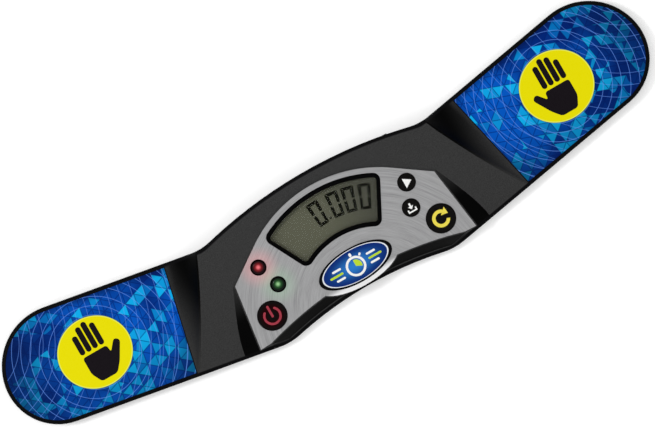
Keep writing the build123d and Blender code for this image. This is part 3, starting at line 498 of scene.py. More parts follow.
# Painted shade: the slopes and the rim's band are mixed towards near black over the deck's own grey.
shade = mix(tree, shaded_slope, shade, SLOPE_SHADE_BLACK)
shade = mix(tree, shaded_border, shade, RIM_SHADE_BLACK)
roughness = clouded(tree, marks, CLOUD_SHARE, ramp(tree, smooth, 0, 1, *DECK_TO_SMOOTH))
grit = times(tree, fine["Height"], ramp(tree, smooth, 0, 1, *GRIT_TO_SMOOTH))
normal = relief_of(tree, grit, 0.5, 0.03)
fill(tree, shader, {"Base Color": shade, "Roughness": roughness, "Normal": normal, "IOR": SATIN_IOR})
dress(casing_plastic, "upper_shell")

# %% [markdown]
# ## The underside, the feet and the fixings
# The base and the battery door come from the same black plastic in a coarser texture, which hides
# scratches. The feet are soft rubber, the press studs' sockets are nickel plated, and the screws are
# blackened steel. One black for all of them would be quicker, but rubber, plastic and metal return light so
# differently that each gets its own numbers in the recipe.

# %% Dress the underside
DULL = {"Specular IOR Level": 0.35}

base_plastic = moulded("base_plastic", (28, 28, 29), (52, 52, 53), 0.5, grain=0.5, relief=0.05, **DULL)
dress(base_plastic, "lower_shell")
door_plastic = moulded("door_plastic", (28, 28, 29), (58, 58, 59), 0.45, grain=0.45, relief=0.04, **DULL)
dress(door_plastic, "battery_door")
foot_rubber = moulded("foot_rubber", (58, 58, 60), (96, 96, 97), 0.85, grain=0.25, relief=0.06, cloud=0.5)
dress(foot_rubber, "rubber_feet")
black_steel = moulded(
    "black_steel", (58, 58, 62), (150, 150, 154), 0.32, grain=0.2, relief=0.01, edge=0.8, Metallic=0.9
)
dress(black_steel, "housing_screws")
nickel = moulded(
    "nickel_plate", (186, 182, 172), (225, 222, 214), 0.24, grain=0.4, relief=0.008, edge=0.6, Metallic=1.0
)
dress(nickel, "mat_sockets", "battery_springs", "battery_terminals", "clock_crystal")

# %% [markdown]
# ## The fascia's brushed foil
# The silver panel is a foil brushed in arcs about the same point as the display. Noise stretched along one
# axis gives straight scratches, which would be right for a bar. Polar coordinates about that point turn the
# arcs into straight lines, so noise that is stretched far along the angle and very little along the radius
# gives curved ones. The lobe in front of the badge is painted almost white, a painted highlight. The lamps
# stand in the foil, and their light on it around them is painted too, as a faint glow of the foil's own.

# %% Build the arc brushing
STREAK_TURN = 2.5  # streaks to a radian
BAND_TURN = 1.6
BAND_REACH = 0.45  # bands to a millimetre
BAND_SHIFT = 7.0

brushed_group, given, end = new_group(
    "arc_brushing", {"Place": None, "Centre": None, "Line Width": 0.25}, ("Streaks", "Bands")
)
offset = add(
    brushed_group, "VectorMath", {0: given["Place"], 1: given["Centre"]}, operation="SUBTRACT"
).outputs[0]
parts = parts_of(brushed_group, offset)
turn = calc(brushed_group, "ARCTAN2", parts[0], parts[1])
reach = length_of(brushed_group, parts[0], parts[1])
thin = {0: over(brushed_group, reach, given["Line Width"]), 1: times(brushed_group, turn, STREAK_TURN)}
thin = add(brushed_group, "CombineXYZ", thin).outputs[0]
broad = {0: times(brushed_group, reach, BAND_REACH), 1: times(brushed_group, turn, BAND_TURN), 2: BAND_SHIFT}
broad = add(brushed_group, "CombineXYZ", broad).outputs[0]
bands = ramp(brushed_group, noise(brushed_group, broad, 1.0, 2.0), 0.3, 0.7)
fill(brushed_group, end, {"Streaks": noise(brushed_group, thin, 1.0, 3.0, Roughness=0.7), "Bands": bands})
print("group:", brushed_group.name)

# %% Dress the fascia
LAMPS = {"red": (-45.9, 2.0), "green": (-41.2, -11.2)}
LAMP_LIGHT = {"red": (1.0, 0.05, 0.07, 1.0), "green": (0.08, 0.75, 0.15, 1.0)}
GLOW_REACH = (13.0, 3.0)
GLOW_SHARE = {"red": 0.62, "green": 0.34}
FOIL_DARK = colour(140, 140, 141)
FOIL_PALE = colour(180, 180, 181)
FOIL_BAND = colour(186, 186, 187)
FOIL_HIGHLIGHT = colour(250, 250, 251)
BAND_SHARE = 0.3
GLOW_STRENGTH = 0.35
LOBE_SIDE = (25.0, 21.0)
LOBE_BACK = (-29.0, -32.5)

tree, shader, brushed_foil = new_material("brushed_foil")
place = place_of(tree)
parts = parts_of(tree, place)
brushing = use_group(tree, brushed_group, Place=place, Centre=on_panel(*FACE_CENTRE) / MM)
marks = use_group(tree, handling_group, Place=place, Amount=0.2)
shade = mix(tree, ramp(tree, brushing["Streaks"], 0.3, 0.7), FOIL_DARK, FOIL_PALE)
shade = mix(tree, times(tree, brushing["Bands"], BAND_SHARE), shade, FOIL_BAND)
# A painted highlight: the lobe in front of the badge is mixed to almost white.
lobe_highlight = times(tree, ramp(tree, calc(tree, "ABSOLUTE", parts[0]), *LOBE_SIDE), ramp(tree, parts[1], *LOBE_BACK))
shade = mix(tree, lobe_highlight, shade, FOIL_HIGHLIGHT)
# Painted light: the lamps' glow on the foil is the foil's own faint emission, fading away from each lamp.
painted_glow = (0, 0, 0, 1)
for name, spot in LAMPS.items():
    near = ramp(tree, distance_from(tree, place, on_panel(*spot)), *GLOW_REACH)
    painted_glow = mix(tree, times(tree, near, GLOW_SHARE[name]), painted_glow, LAMP_LIGHT[name], "ADD")
roughness = clouded(tree, marks, 0.2, plus(tree, times(tree, brushing["Streaks"], 0.2), 0.30))
normal = relief_of(tree, brushing["Streaks"], 0.35, 0.02)
fill(tree, shader, {"Base Color": shade, "Roughness": roughness, "Normal": normal, "Metallic": 0.5})
fill(tree, shader, {"Emission Color": painted_glow, "Emission Strength": GLOW_STRENGTH})
dress(brushed_foil, "display_fascia")

# %% [markdown]
# ## The bezel, the window and the display
# The bezel is the glossiest black on the timer, and its window is a thin clear sheet. Glass alone would
# leave the display dark, because few of the lamps' rays find their way through it. So light passes this
# sheet as if it weren't there, and only the eye sees glass. The display itself is the grey green of a
# reflective liquid crystal, a little paler in its left half.

# %% Dress the bezel and the window
gloss_black = moulded(
    "gloss_black", (3, 3, 3), (12, 12, 13), 0.16, grain=0.8, relief=0.004, edge=0.3, cloud=0.2, IOR=SATIN_IOR
)
dress(gloss_black, "display_bezel")

tree, shader, clear_sheet = new_material("clear_sheet")
marks = use_group(tree, handling_group, Place=place_of(tree), Size=12.0, Amount=0.3)
fill(tree, shader, {"Base Color": (0.97, 0.98, 0.97, 1), "Roughness": times(tree, marks["Cloud"], 0.04)})
fill(tree, shader, {"IOR": 1.1, "Transmission Weight": 1.0})
open_way = add(tree, "BsdfTransparent", {"Color": (0.95, 0.96, 0.95, 1)})
rays = add(tree, "LightPath").outputs
lit = larger(tree, rays["Is Shadow Ray"], rays["Is Diffuse Ray"])
choose = add(tree, "MixShader", {0: lit, 1: shader.outputs[0], 2: open_way.outputs[0]})
fill(tree, tree.nodes["Material Output"], {"Surface": choose.outputs[0]})
dress(clear_sheet, "display_window")

# %% Dress the display
LCD_PALE = colour(90, 90, 76)
LCD_DEEP = colour(70, 70, 62)
LCD_SPARK = colour(140, 140, 118)
LCD_BRIGHTEST = (-16.0, 6.0)  # on the panel
LCD_FADE = (12.0, 44.0)

tree, shader, display_ground = new_material("display_ground")
place = place_of(tree)
fine = use_group(tree, grain_group, Place=place, Size=0.2)
spread = distance_from(tree, place, on_panel(*LCD_BRIGHTEST))
shade = mix(tree, ramp(tree, spread, *LCD_FADE), LCD_PALE, LCD_DEEP)
shade = mix(tree, times(tree, fine["Speckle"], 0.08), shade, LCD_SPARK)
roughness = ramp(tree, fine["Speckle"], 0, 1, 0.35, 0.45)
fill(tree, shader, {"Base Color": shade, "Roughness": roughness, "IOR": SATIN_IOR})
dress(display_ground, "lcd_glass")

# %% [markdown]
# ## Lamps
# Each lamp is a tinted dome over a light-emitting diode, in a black ring. A small light inside clear
# plastic would be the physical way, but it renders slowly and with noise. A lit dome is brightest over the
# diode and falls off to a dark rim, so here its colour and its light simply fade with the distance from the
# middle.

# %% Dress the lamps
LENS_RADIUS = 3.65
DIODE_AT = (0.3, 1.5)  # behind the lens's middle, and above the panel
PALE_REACH = (0.1, 1.8)  # from the diode: where the pale middle begins to fade, and where it ends
DEEP_REACH = (1.1, LENS_RADIUS - 0.5)  # the same for the deep colour
LENS_SHADES = {
    "red": (colour(222, 104, 112), colour(122, 18, 26), colour(22, 5, 8)),
    "green": (colour(134, 182, 126), colour(32, 78, 36), colour(7, 18, 10)),
}


def lamp_dome(name, middle, body_shade, rim_shade):
    """A lit, tinted dome: pale over the diode, deep in colour half way and nearly black at the rim."""
    tree, shader, material = new_material(name + "_dome")
    place = place_of(tree)
    x, y = LAMPS[name]
    spread = distance_from(tree, place, on_panel(x, y + DIODE_AT[0], DIODE_AT[1]))
    shade = mix(tree, ramp(tree, spread, *PALE_REACH), middle, body_shade)
    shade = mix(tree, ramp(tree, spread, *DEEP_REACH), shade, rim_shade)
    marks = use_group(tree, handling_group, Place=place, Size=6.0, Amount=0.3)
    fill(tree, shader, {"Base Color": shade, "Roughness": clouded(tree, marks, 0.2, 0.2), "IOR": 1.25})
    fill(tree, shader, {"Emission Color": shade, "Emission Strength": 0.2})
    dress(material, name + "_lamp_lens", name + "_led")


for name, shades in LENS_SHADES.items():
    lamp_dome(name, *shades)
ring_plastic = moulded(
    "ring_plastic", (4, 2, 2), (9, 5, 5), 0.4, grain=0.4, relief=0.01, edge=0.1, IOR=SATIN_IOR
)
dress(ring_plastic, "lamp_rings")

# %% [markdown]
# ## Keys
# The four caps are smooth black plastic with a fine grain and slightly worn edges. The cap on the left has
# a lit sign in it, so a dark red halo surrounds that sign. The halo could be a real light under the cap. It
# is painted as a ring at an even distance from the sign's circle instead, which looks the same at every
# number of samples.

# %% Dress the keys
KEYS = {"power": (-52.4, -24.45), "reset": (52.45, -24.45), "play": (46.0, 1.9), "save": (41.35, -11.3)}
CAP_RISE = 0.9
HALO_RADIUS = 4.4
HALO_REACH = (2.9, 0.4)

key_plastic = moulded(
    "key_plastic", (12, 11, 10), (24, 23, 22), 0.4, relief=0.015, edge=0.35, IOR=SATIN_IOR
)
dress(key_plastic, "reset_key", "play_key", "save_key")

tree, shader, lit_key_plastic = new_material("lit_key_plastic")
place = place_of(tree)
fine = use_group(tree, grain_group, Place=place, Size=0.3)
marks = use_group(tree, handling_group, Place=place, Amount=0.3)
worn = use_group(tree, edge_group, Width=EDGE_WIDTH)["Edge"]
from_circle = minus(tree, distance_from(tree, place, on_panel(*KEYS["power"], CAP_RISE)), HALO_RADIUS)
halo = ramp(tree, calc(tree, "ABSOLUTE", from_circle), *HALO_REACH)
shade = mix(tree, times(tree, fine["Speckle"], SPECKLE_SHARE), colour(12, 9, 9), colour(24, 20, 20))
shade = mix(tree, halo, shade, colour(30, 4, 6))
shade = mix(tree, times(tree, worn, 0.35), shade, colour(30, 26, 26))
roughness = clouded(tree, marks, CLOUD_SHARE, 0.4)
normal = relief_of(tree, fine["Height"], GRAIN_STRENGTH, 0.015)
fill(tree, shader, {"Base Color": shade, "Roughness": roughness, "Normal": normal, "IOR": SATIN_IOR})
dress(lit_key_plastic, "power_key")

# %% [markdown]
# ## The badge
# An oval plate sits at the front of the panel. It is bare of any name: a blue field that is paler in the
# middle, a thin white line and a black rim. Each ring could be a piece of its own, but the real plate is a
# print. So they are steps of one number, the share of the way from the middle to the rim. A general
# stopwatch sign goes on the plate further down.

# %% Dress the badge
BADGE_CENTRE = (0.0, -23.15)
BADGE_AXES = (22.0, 9.75)
BADGE_FIELD = (0.0, 0.85)  # the share of the way to the rim at which the blue is palest, and deepest
BADGE_LINE = (0.875, 0.9)
LINE_EDGE = 0.01

tree, shader, badge_print = new_material("badge_print")
place = place_of(tree)
parts = parts_of(tree, place)
from_middle = minus(tree, parts[1], (on_panel(*BADGE_CENTRE) / MM).y)
share_x = over(tree, parts[0], BADGE_AXES[0])
share_y = over(tree, from_middle, BADGE_AXES[1] * math.cos(PANEL_TILT))
oval = length_of(tree, share_x, share_y)
shade = mix(tree, ramp(tree, oval, *BADGE_FIELD), colour(46, 122, 200), colour(14, 44, 112))
shade = mix(tree, ramp(tree, oval, BADGE_LINE[0] - LINE_EDGE, BADGE_LINE[0]), shade, colour(222, 226, 232))
shade = mix(tree, ramp(tree, oval, BADGE_LINE[1], BADGE_LINE[1] + LINE_EDGE), shade, colour(10, 10, 12))
marks = use_group(tree, handling_group, Place=place, Size=10.0, Amount=0.3)
fill(tree, shader, {"Base Color": shade, "Roughness": clouded(tree, marks, 0.2, 0.25), "IOR": SATIN_IOR})
dress(badge_print, "badge_plate")

# %% [markdown]
# ## The pads
# Each pad is a printed film. This print is a general one: triangles in blues and cyans with fine pale rings
# round the palm mark and round a point further out. It is darker towards the tip, the front and the front
# inner corner, and along the edges a painted shadow of the rim darkens it. A face could be drawn for every
# triangle, but there would be hundreds of them. Three families of parallel lines at sixty degrees to each
# other cut the plane into the same triangles. The whole numbers of the three lines before a point name its
# triangle, so white noise on those numbers gives each triangle one shade of its own.

# %% Build the triangle tiles
SECOND_DRAW = (17.0, 5.0, 11.0)  # renames the triangles for a second chance

tile_group, given, end = new_group(
    "triangle_tiles",
    {"Along": 0.0, "Across": 0.0, "Height": 6.0, "Gap": 0.045},
    ("Chance", "Second Chance", "Joint"),
)
whole = []
nearest = 1.0
for degrees in (0, 60, 120):
    turn = math.radians(degrees)
    along = times(tile_group, given["Along"], math.cos(turn))
    across = times(tile_group, given["Across"], math.sin(turn))
    lines = over(tile_group, plus(tile_group, along, across), given["Height"])
    whole.append(calc(tile_group, "FLOOR", lines))
    past = calc(tile_group, "FRACT", lines)
    beside = calc(tile_group, "MINIMUM", past, minus(tile_group, 1.0, past))
    nearest = calc(tile_group, "MINIMUM", nearest, beside)
tile_name = add(tile_group, "CombineXYZ", dict(enumerate(whole))).outputs[0]
new_name = add(tile_group, "VectorMath", {0: tile_name, 1: SECOND_DRAW}, operation="ADD").outputs[0]
for title, vector in (("Chance", tile_name), ("Second Chance", new_name)):
    draw = add(tile_group, "TexWhiteNoise", {"Vector": vector}, noise_dimensions="3D").outputs["Value"]
    fill(tile_group, end, {title: draw})
fill(tile_group, end, {"Joint": calc(tile_group, "LESS_THAN", nearest, given["Gap"])})
print("group:", tile_group.name)

# %% Choose the print's colours and shades
PAD_DEEP = colour(2, 30, 106)
PAD_BLUE = colour(4, 84, 186)
PAD_DARK = colour(4, 20, 62)
TILE_DEEP = colour(4, 96, 178)
TILE_CYAN = colour(16, 178, 236)
JOINT_BLUE = colour(2, 30, 104)
GROUND_DRIFT = (0.35, 0.62)  # the noise at which the ground is deep blue, and blue
GROUND_CHANCE = 0.3
LIT_ABOVE = 1.16
LIT_SHARE = 0.9
JOINT_SHARE = 0.6
# Each fade is given by the two places between which it grows, and by its shares there.
TIP_FADE = (150.0, 196.0, 0.0, 0.78)
FRONT_FADE = (-12.0, -48.0, 0.0, 0.4)
# Along the film's edges the darkening is a painted shadow of the rim.
EDGE_SHADOW = (6.5, 2.4, 0.0, 0.5)
CORNER_FADE = (84.0, 52.0, 0.0, 0.75)


def tiled(tree, place, outline):
    """The print's ground, with its lit triangles and the joints between them."""
    tiles = use_group(tree, tile_group, Along=outline["Along"], Across=outline["Across"])
    ground = mix(tree, ramp(tree, noise(tree, place, 0.03, 1.0), *GROUND_DRIFT), PAD_DEEP, PAD_BLUE)
    ground = mix(tree, times(tree, tiles["Chance"], GROUND_CHANCE), ground, PAD_BLUE)
    cluster = noise(tree, place, 0.05, 0.0)
    lit = calc(tree, "GREATER_THAN", plus(tree, tiles["Chance"], cluster), LIT_ABOVE)
    glaze = mix(tree, tiles["Second Chance"], TILE_DEEP, TILE_CYAN)
    shade = mix(tree, times(tree, lit, LIT_SHARE), ground, glaze)
    return mix(tree, times(tree, tiles["Joint"], JOINT_SHARE), shade, JOINT_BLUE)


def faded(tree, outline, shade):
    """Darker print to the tip, front and inner front corner, and a painted rim shadow along the edges."""
    inner_front = plus(tree, outline["Along"], outline["Across"])
    fade = larger(tree, ramp(tree, outline["Along"], *TIP_FADE), ramp(tree, outline["Across"], *FRONT_FADE))
    # a painted shadow of the rim along the film's edges
    fade = larger(tree, fade, ramp(tree, outline["Distance"], *EDGE_SHADOW))
    fade = larger(tree, fade, ramp(tree, inner_front, *CORNER_FADE))
    return mix(tree, fade, shade, PAD_DARK)


print("shares of dark at the tip and the front:", TIP_FADE[3], FRONT_FADE[3])

# %% Print the pads
PALM_MARKS = {"right": (142.5, 6.3), "left": (-145.4, 6.5)}
NET_BLUE = colour(96, 146, 236)
RING_WIDTH = 0.32
RING_PITCH = 5.0
FAR_PITCH = 6.5
FAR_CENTRE = (62.0, 40.0)  # outwards and back from the palm mark


def ringed(tree, place, centre, pitch, share, shade):
    """The print with thin pale rings round a point, at an even pitch."""
    past = calc(tree, "FRACT", over(tree, distance_from(tree, place, centre), pitch))
    line = calc(tree, "LESS_THAN", past, RING_WIDTH / pitch)
    return mix(tree, times(tree, line, share), shade, NET_BLUE)


def printed_pad(side, palm):
    """The film over one pad, with its pattern centred on that side's palm mark."""
    tree, shader, material = new_material(side + "_pad_print")
    place = place_of(tree)
    outline = use_group(tree, outline_group, Place=place)
    shade = faded(tree, outline, tiled(tree, place, outline))
    centre = Vector((palm[0] * MM, palm[1] * MM, PAD_TOP))
    far_centre = centre + Vector((math.copysign(FAR_CENTRE[0], palm[0]), FAR_CENTRE[1], 0)) * MM
    shade = ringed(tree, place, centre, RING_PITCH, 0.55, shade)
    shade = ringed(tree, place, far_centre, FAR_PITCH, 0.4, shade)
    marks = use_group(tree, handling_group, Place=place, Size=22.0, Amount=0.3)
    fine = use_group(tree, grain_group, Place=place, Size=0.5)
    roughness = clouded(tree, marks, 0.25, 0.32)
    normal = relief_of(tree, fine["Height"], 0.3, 0.01)
    fill(tree, shader, {"Base Color": shade, "Roughness": roughness, "Normal": normal, "IOR": SATIN_IOR})
    dress(material, side + "_pad_overlay")


for side, palm in PALM_MARKS.items():
    printed_pad(side, palm)

# %% [markdown]
# ## Inside the casing
# The parts inside are seen only when the timer is opened, yet each has its own finish: green board with its
# tracks showing through, black chip, tinned and plated metal, coloured wires and wrapped cells. Most of
# them take the recipe with other numbers. The board, the striped connector strip and the cells carry a
# pattern, so they get their own trees.

# %% Dress the electronics
tree, shader, board_green = new_material("board_green")
place = place_of(tree)
bricks = {"Vector": place, "Scale": 0.35, "Mortar Size": 0.12, "Mortar Smooth": 0.1}
tracks = add(tree, "TexBrick", bricks).outputs["Fac"]
fine = use_group(tree, grain_group, Place=place, Size=0.6)
shade = mix(tree, tracks, colour(16, 74, 40), colour(30, 104, 58))
shade = mix(tree, times(tree, fine["Speckle"], 0.2), shade, colour(44, 120, 70))
roughness = ramp(tree, fine["Speckle"], 0, 1, 0.35, 0.5)
normal = relief_of(tree, tracks, 0.4, 0.03)
fill(tree, shader, {"Base Color": shade, "Roughness": roughness, "Normal": normal})
dress(board_green, "circuit_board")
epoxy = moulded("chip_epoxy", (22, 22, 24), (60, 60, 62), 0.55, grain=0.15, relief=0.01)
dress(epoxy, "controller_chip")
ceramic = moulded("tinned_ceramic", (120, 96, 66), (186, 170, 140), 0.45, grain=0.25, Metallic=0.2)
dress(ceramic, "board_components")
zinc = moulded("zinc_plate", (164, 168, 172), (214, 216, 218), 0.3, edge=0.7, Metallic=0.9)
dress(zinc, "board_screws")
copper = moulded("copper_foil", (170, 100, 62), (214, 150, 108), 0.35, grain=0.5, edge=0.5, Metallic=0.9)
dress(copper, "left_sensor_plate", "right_sensor_plate")
frame_plastic = moulded("frame_plastic", (206, 204, 196), (230, 228, 222), 0.5, grain=0.4, cloud=0.4)
dress(frame_plastic, "lcd_frame")

# %% Dress the connector strip and the wires
STRIPE_PITCH = 0.36

tree, shader, zebra_rubber = new_material("zebra_rubber")
place = place_of(tree)
stripe = calc(tree, "FRACT", over(tree, parts_of(tree, place)[0], STRIPE_PITCH))
stripe = calc(tree, "GREATER_THAN", stripe, 0.5)
fine = use_group(tree, grain_group, Place=place, Size=0.3)
shade = mix(tree, stripe, colour(196, 120, 132), colour(24, 24, 26))
fill(tree, shader, {"Base Color": shade, "Roughness": ramp(tree, fine["Speckle"], 0, 1, 0.6, 0.75)})
dress(zebra_rubber, "zebra_strip")
for name, base, light, nodes in (
    ("red_insulation", (168, 24, 26), (206, 62, 58), ["positive_battery_lead"]),
    ("black_insulation", (22, 22, 24), (58, 58, 60), ["negative_battery_lead", "jack_lead"]),
    ("white_insulation", (206, 204, 198), (236, 234, 228), ["left_sensor_lead", "right_sensor_lead"]),
    ("jack_plastic", (20, 20, 22), (56, 56, 58), ["data_jack"]),
):
    dress(moulded(name, base, light, 0.45, grain=0.4, relief=0.015, cloud=0.4), *nodes)

# %% Dress the cells
CELL_HALF = 22.25
BARE_END = 1.0
SLEEVE_SHIFT = 4.0
SLEEVE_HALF = 13.0

tree, shader, cell_wrap = new_material("cell_wrap")
place = place_of(tree)
x = parts_of(tree, place)[0]
bare = calc(tree, "GREATER_THAN", calc(tree, "ABSOLUTE", x), CELL_HALF - BARE_END)
past_sleeve = calc(tree, "ABSOLUTE", plus(tree, x, SLEEVE_SHIFT))
past_sleeve = calc(tree, "GREATER_THAN", past_sleeve, SLEEVE_HALF)
marks = use_group(tree, handling_group, Place=place, Amount=0.4)
shade = mix(tree, past_sleeve, colour(28, 30, 34), colour(176, 128, 40))
shade = mix(tree, bare, shade, colour(200, 200, 198))
roughness = clouded(tree, marks, CLOUD_SHARE, 0.25)
fill(tree, shader, {"Base Color": shade, "Roughness": roughness, "Metallic": bare})
dress(cell_wrap, "battery_cells")

# %% [markdown]
# ## Tools for printed marks
# Signs and numerals are ink: flat shapes a few hundredths of a millimetre thick. A font or a curve could
# draw them, but a font brings its own letters, and a curve has to become a mesh before it is laid down. So
# they are drawn as meshes, lying flat, in millimetres, from discs and corner points, then thickened and
# laid on their surface. A rounded bar is a disc whose two halves are moved apart, and an arc is a long bar
# bent round a point.

# %% Make the drawing tools
DISC_STEPS = 32
CORNER_STEPS = 5


def rounded_bar(bm, start, end, width):
    """A flat bar with round ends: one disc, cut in two halves that are moved to both ends."""
    start, end = Vector((*start, 0)), Vector((*end, 0))
    way = end - start
    turn = Matrix.Rotation(math.atan2(way.y, way.x) + math.pi / DISC_STEPS, 4, "Z")
    made = bmesh.ops.create_circle(bm, cap_ends=True, radius=width / 2, segments=DISC_STEPS, matrix=turn)
    for vertex in made["verts"]:
        vertex.co += end if vertex.co.dot(way) > 0 else start


def corner_shape(bm, points, rounding):
    """A flat shape given by its corners, which are then rounded."""
    corners = [bm.verts.new((x, y, 0)) for x, y in points]
    bm.faces.new(corners).normal_update()
    if rounding:
        bmesh.ops.bevel(
            bm, geom=corners, offset=rounding, offset_type="OFFSET", affect="VERTICES",
            segments=CORNER_STEPS, profile=0.5, material=-1,
        )


def split_long_edges(bm, longest):
    """Divides long edges so that a bend comes out smooth."""
    for edge in [e for e in bm.edges if e.calc_length() > longest]:
        bmesh.ops.subdivide_edges(bm, edges=[edge], cuts=int(edge.calc_length() / longest))


def bend_round(bm, centre, radius):
    """Bends a shape that lies along x, so that its middle line follows a circle round a point."""
    for vertex in bm.verts:
        turn = vertex.co.x / radius
        reach = radius + vertex.co.y
        vertex.co.x = centre[0] + reach * math.sin(turn)
        vertex.co.y = centre[1] + reach * math.cos(turn)


print("steps of a disc and of a corner:", DISC_STEPS, CORNER_STEPS)

# %% Make the tools that lay a drawing down
INK_DEPTH = 0.05
INK_OVERLAP = 0.01


def finish_piece(name, bm, matrix, material, body):
    """Turns a shape in millimetres into a piece that lies in its place and rides on a body."""
    bmesh.ops.transform(bm, matrix=matrix @ Matrix.Scale(MM, 4), verts=bm.verts)
    bmesh.ops.recalc_face_normals(bm, faces=bm.faces)
    mesh = bpy.data.meshes.new(name)
    bm.to_mesh(mesh)
    bm.free()
    mesh.materials.append(material)
    piece = place_object(name, mesh)
    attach(piece, body)
    print(name, "faces:", len(mesh.polygons), "on", body)
    return piece


def lay_ink(name, bm, material, matrix, body, depth=INK_DEPTH):
    """Thickens a flat drawing and lays it on its surface, a little into it."""
    made = bmesh.ops.extrude_face_region(bm, geom=bm.faces[:], use_keep_orig=True)
    raised = [g for g in made["geom"] if isinstance(g, bmesh.types.BMVert)]
    bmesh.ops.translate(bm, verts=raised, vec=(0, 0, depth + INK_OVERLAP))
    bmesh.ops.translate(bm, verts=bm.verts, vec=(0, 0, -INK_OVERLAP))
    finish_piece(name, bm, matrix, material, body)


def panel_spot(x, y, rise):
    """The matrix that lays a drawing on the panel, centred at x, y and this far above it."""
    return Matrix.Translation(on_panel(x, y, rise)) @ Matrix.Rotation(PANEL_TILT, 4, "X")


def ink(name, shade, pale, rough=0.45):
    """A printing ink: an even colour with a little mottle."""
    return moulded(name, shade, pale, rough, grain=0.4, relief=0.004, edge=0.0, cloud=0.2, IOR=SATIN_IOR)


print("ink depth in mm:", INK_DEPTH)

# %% [markdown]
# ## The silicone domes
# Each key stands on a hollow silicone dome that flattens under it. A CAD solid can't change its shape, so a
# piece made here stands for each dome: one profile spun about its key's axis, which is how the real mould
# is turned.

# %% Shape the domes
BOARD_DEPTH = 7.5  # the board's top, below the panel
DOME_DEPTH = 5.3  # the dome's top, below the panel
DOME_FOOT = 0.6
DOME_WALL = (0.9, 0.6)
DOME_SHARE = (0.85, 0.5)  # of the key's radius, at the foot and at the top
DOME_STEPS = 48
KEY_RADIUS = {"power": 8.15, "reset": 8.15, "play": 4.95, "save": 4.95}
silicone = moulded("silicone", (132, 134, 136), (168, 170, 172), 0.6, grain=0.4, cloud=0.5)


def silicone_dome(name, place):
    """A hollow dome, drawn in the panel's own axes."""
    wide, narrow = [KEY_RADIUS[name] * share for share in DOME_SHARE]
    foot, top, ceiling = DOME_FOOT - BOARD_DEPTH, -DOME_DEPTH, -DOME_DEPTH - DOME_WALL[0]
    outside = [(0, top), (narrow, top), (wide, foot), (wide, -BOARD_DEPTH)]
    inside = [(wide - DOME_WALL[0], -BOARD_DEPTH), (wide - DOME_WALL[0], foot)]
    inside += [(narrow - DOME_WALL[1], ceiling), (0, ceiling)]
    bm = bmesh.new()
    ring = [bm.verts.new((x, 0, z)) for x, z in outside + inside]
    wires = [bm.edges.new(pair) for pair in zip(ring, ring[1:])]
    bmesh.ops.spin(
        bm, geom=ring + wires, cent=(0, 0, 0), axis=(0, 0, 1),
        angle=math.tau, steps=DOME_STEPS, use_merge=True,
    )
    bmesh.ops.remove_doubles(bm, verts=bm.verts, dist=0.001)
    piece = finish_piece(name + "_silicone", bm, panel_spot(*place, 0), silicone, "housing")
    piece.data.shade_smooth()
    piece.data.set_sharp_from_angle(angle=math.radians(30))
    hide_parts(name + "_dome")
    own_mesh(piece)


for name, place in KEYS.items():
    silicone_dome(name, place)

# %% [markdown]
# ## Signs on the keys
# Each key carries a general sign that every player knows: the standby sign in red, a triangle to play, an
# arrow into a tray to save, and a round arrow in yellow to start again. Nodes could paint them on the caps,
# but drawn shapes keep sharp edges close up, and are meshes of their own. The signs ride on their keys,
# so they go down with them.

# %% Draw the standby sign
STANDBY_RADIUS = 4.4
STANDBY_OPENING = math.radians(43)
STANDBY_WIDTH = 1.3
STANDBY_BAR = {"start": (0, 5.5), "end": (0, -0.2), "width": 1.35}
ARC_STEP = 0.6  # the longest edge left on an arc
standby_ink = ink("standby_ink", (150, 52, 64), (176, 70, 84))

bm = bmesh.new()
half_length = STANDBY_RADIUS * (math.pi - STANDBY_OPENING)
rounded_bar(bm, (-half_length, 0), (half_length, 0), STANDBY_WIDTH)
split_long_edges(bm, ARC_STEP)
bend_round(bm, (0, 0), STANDBY_RADIUS)
bmesh.ops.rotate(bm, verts=bm.verts, cent=(0, 0, 0), matrix=Matrix.Rotation(math.pi, 3, "Z"))
rounded_bar(bm, **STANDBY_BAR)
lay_ink("power_sign", bm, standby_ink, panel_spot(*KEYS["power"], CAP_RISE), "power_key")

# %% Draw the round arrow
RESET_RADIUS = 3.95
RESET_WIDTH = 1.9
RESET_ARC = (math.radians(-245), math.radians(38))
RESET_HEAD = [(0.7, 1.5), (4.7, 0.9), (4.3, 4.9)]
yellow_ink = ink("yellow_ink", (224, 206, 66), (236, 224, 112))

bm = bmesh.new()
first, last = [RESET_RADIUS * turn for turn in RESET_ARC]
low, high = -RESET_WIDTH / 2, RESET_WIDTH / 2
corner_shape(bm, [(first, low), (last, low), (last, high), (first, high)], 0)
split_long_edges(bm, ARC_STEP)
bend_round(bm, (0, 0), RESET_RADIUS)
corner_shape(bm, RESET_HEAD, 0.15)
lay_ink("reset_sign", bm, yellow_ink, panel_spot(*KEYS["reset"], CAP_RISE), "reset_key")

# %% Draw the play and save signs
PLAY_CORNERS = [(-1.4, -2.75), (3.0, 0.1), (-1.4, 2.95)]
TRAY_CORNERS = [
    (-2.6, -0.5), (-2.6, -2.5), (2.6, -2.5), (2.6, -0.5), (1.8, -0.5), (1.8, -1.7), (-1.8, -1.7), (-1.8, -0.5)
]
ARROW_CORNERS = [(-0.5, 2.7), (-0.5, 0.9), (-1.6, 0.9), (0, -0.9), (1.6, 0.9), (0.5, 0.9), (0.5, 2.7)]
white_ink = ink("white_ink", (232, 232, 230), (246, 246, 244))

bm = bmesh.new()
corner_shape(bm, PLAY_CORNERS, 0.25)
lay_ink("play_sign", bm, white_ink, panel_spot(*KEYS["play"], CAP_RISE), "play_key")

bm = bmesh.new()
corner_shape(bm, TRAY_CORNERS, 0.12)
corner_shape(bm, ARROW_CORNERS, 0.1)
lay_ink("save_sign", bm, white_ink, panel_spot(*KEYS["save"], CAP_RISE), "save_key")

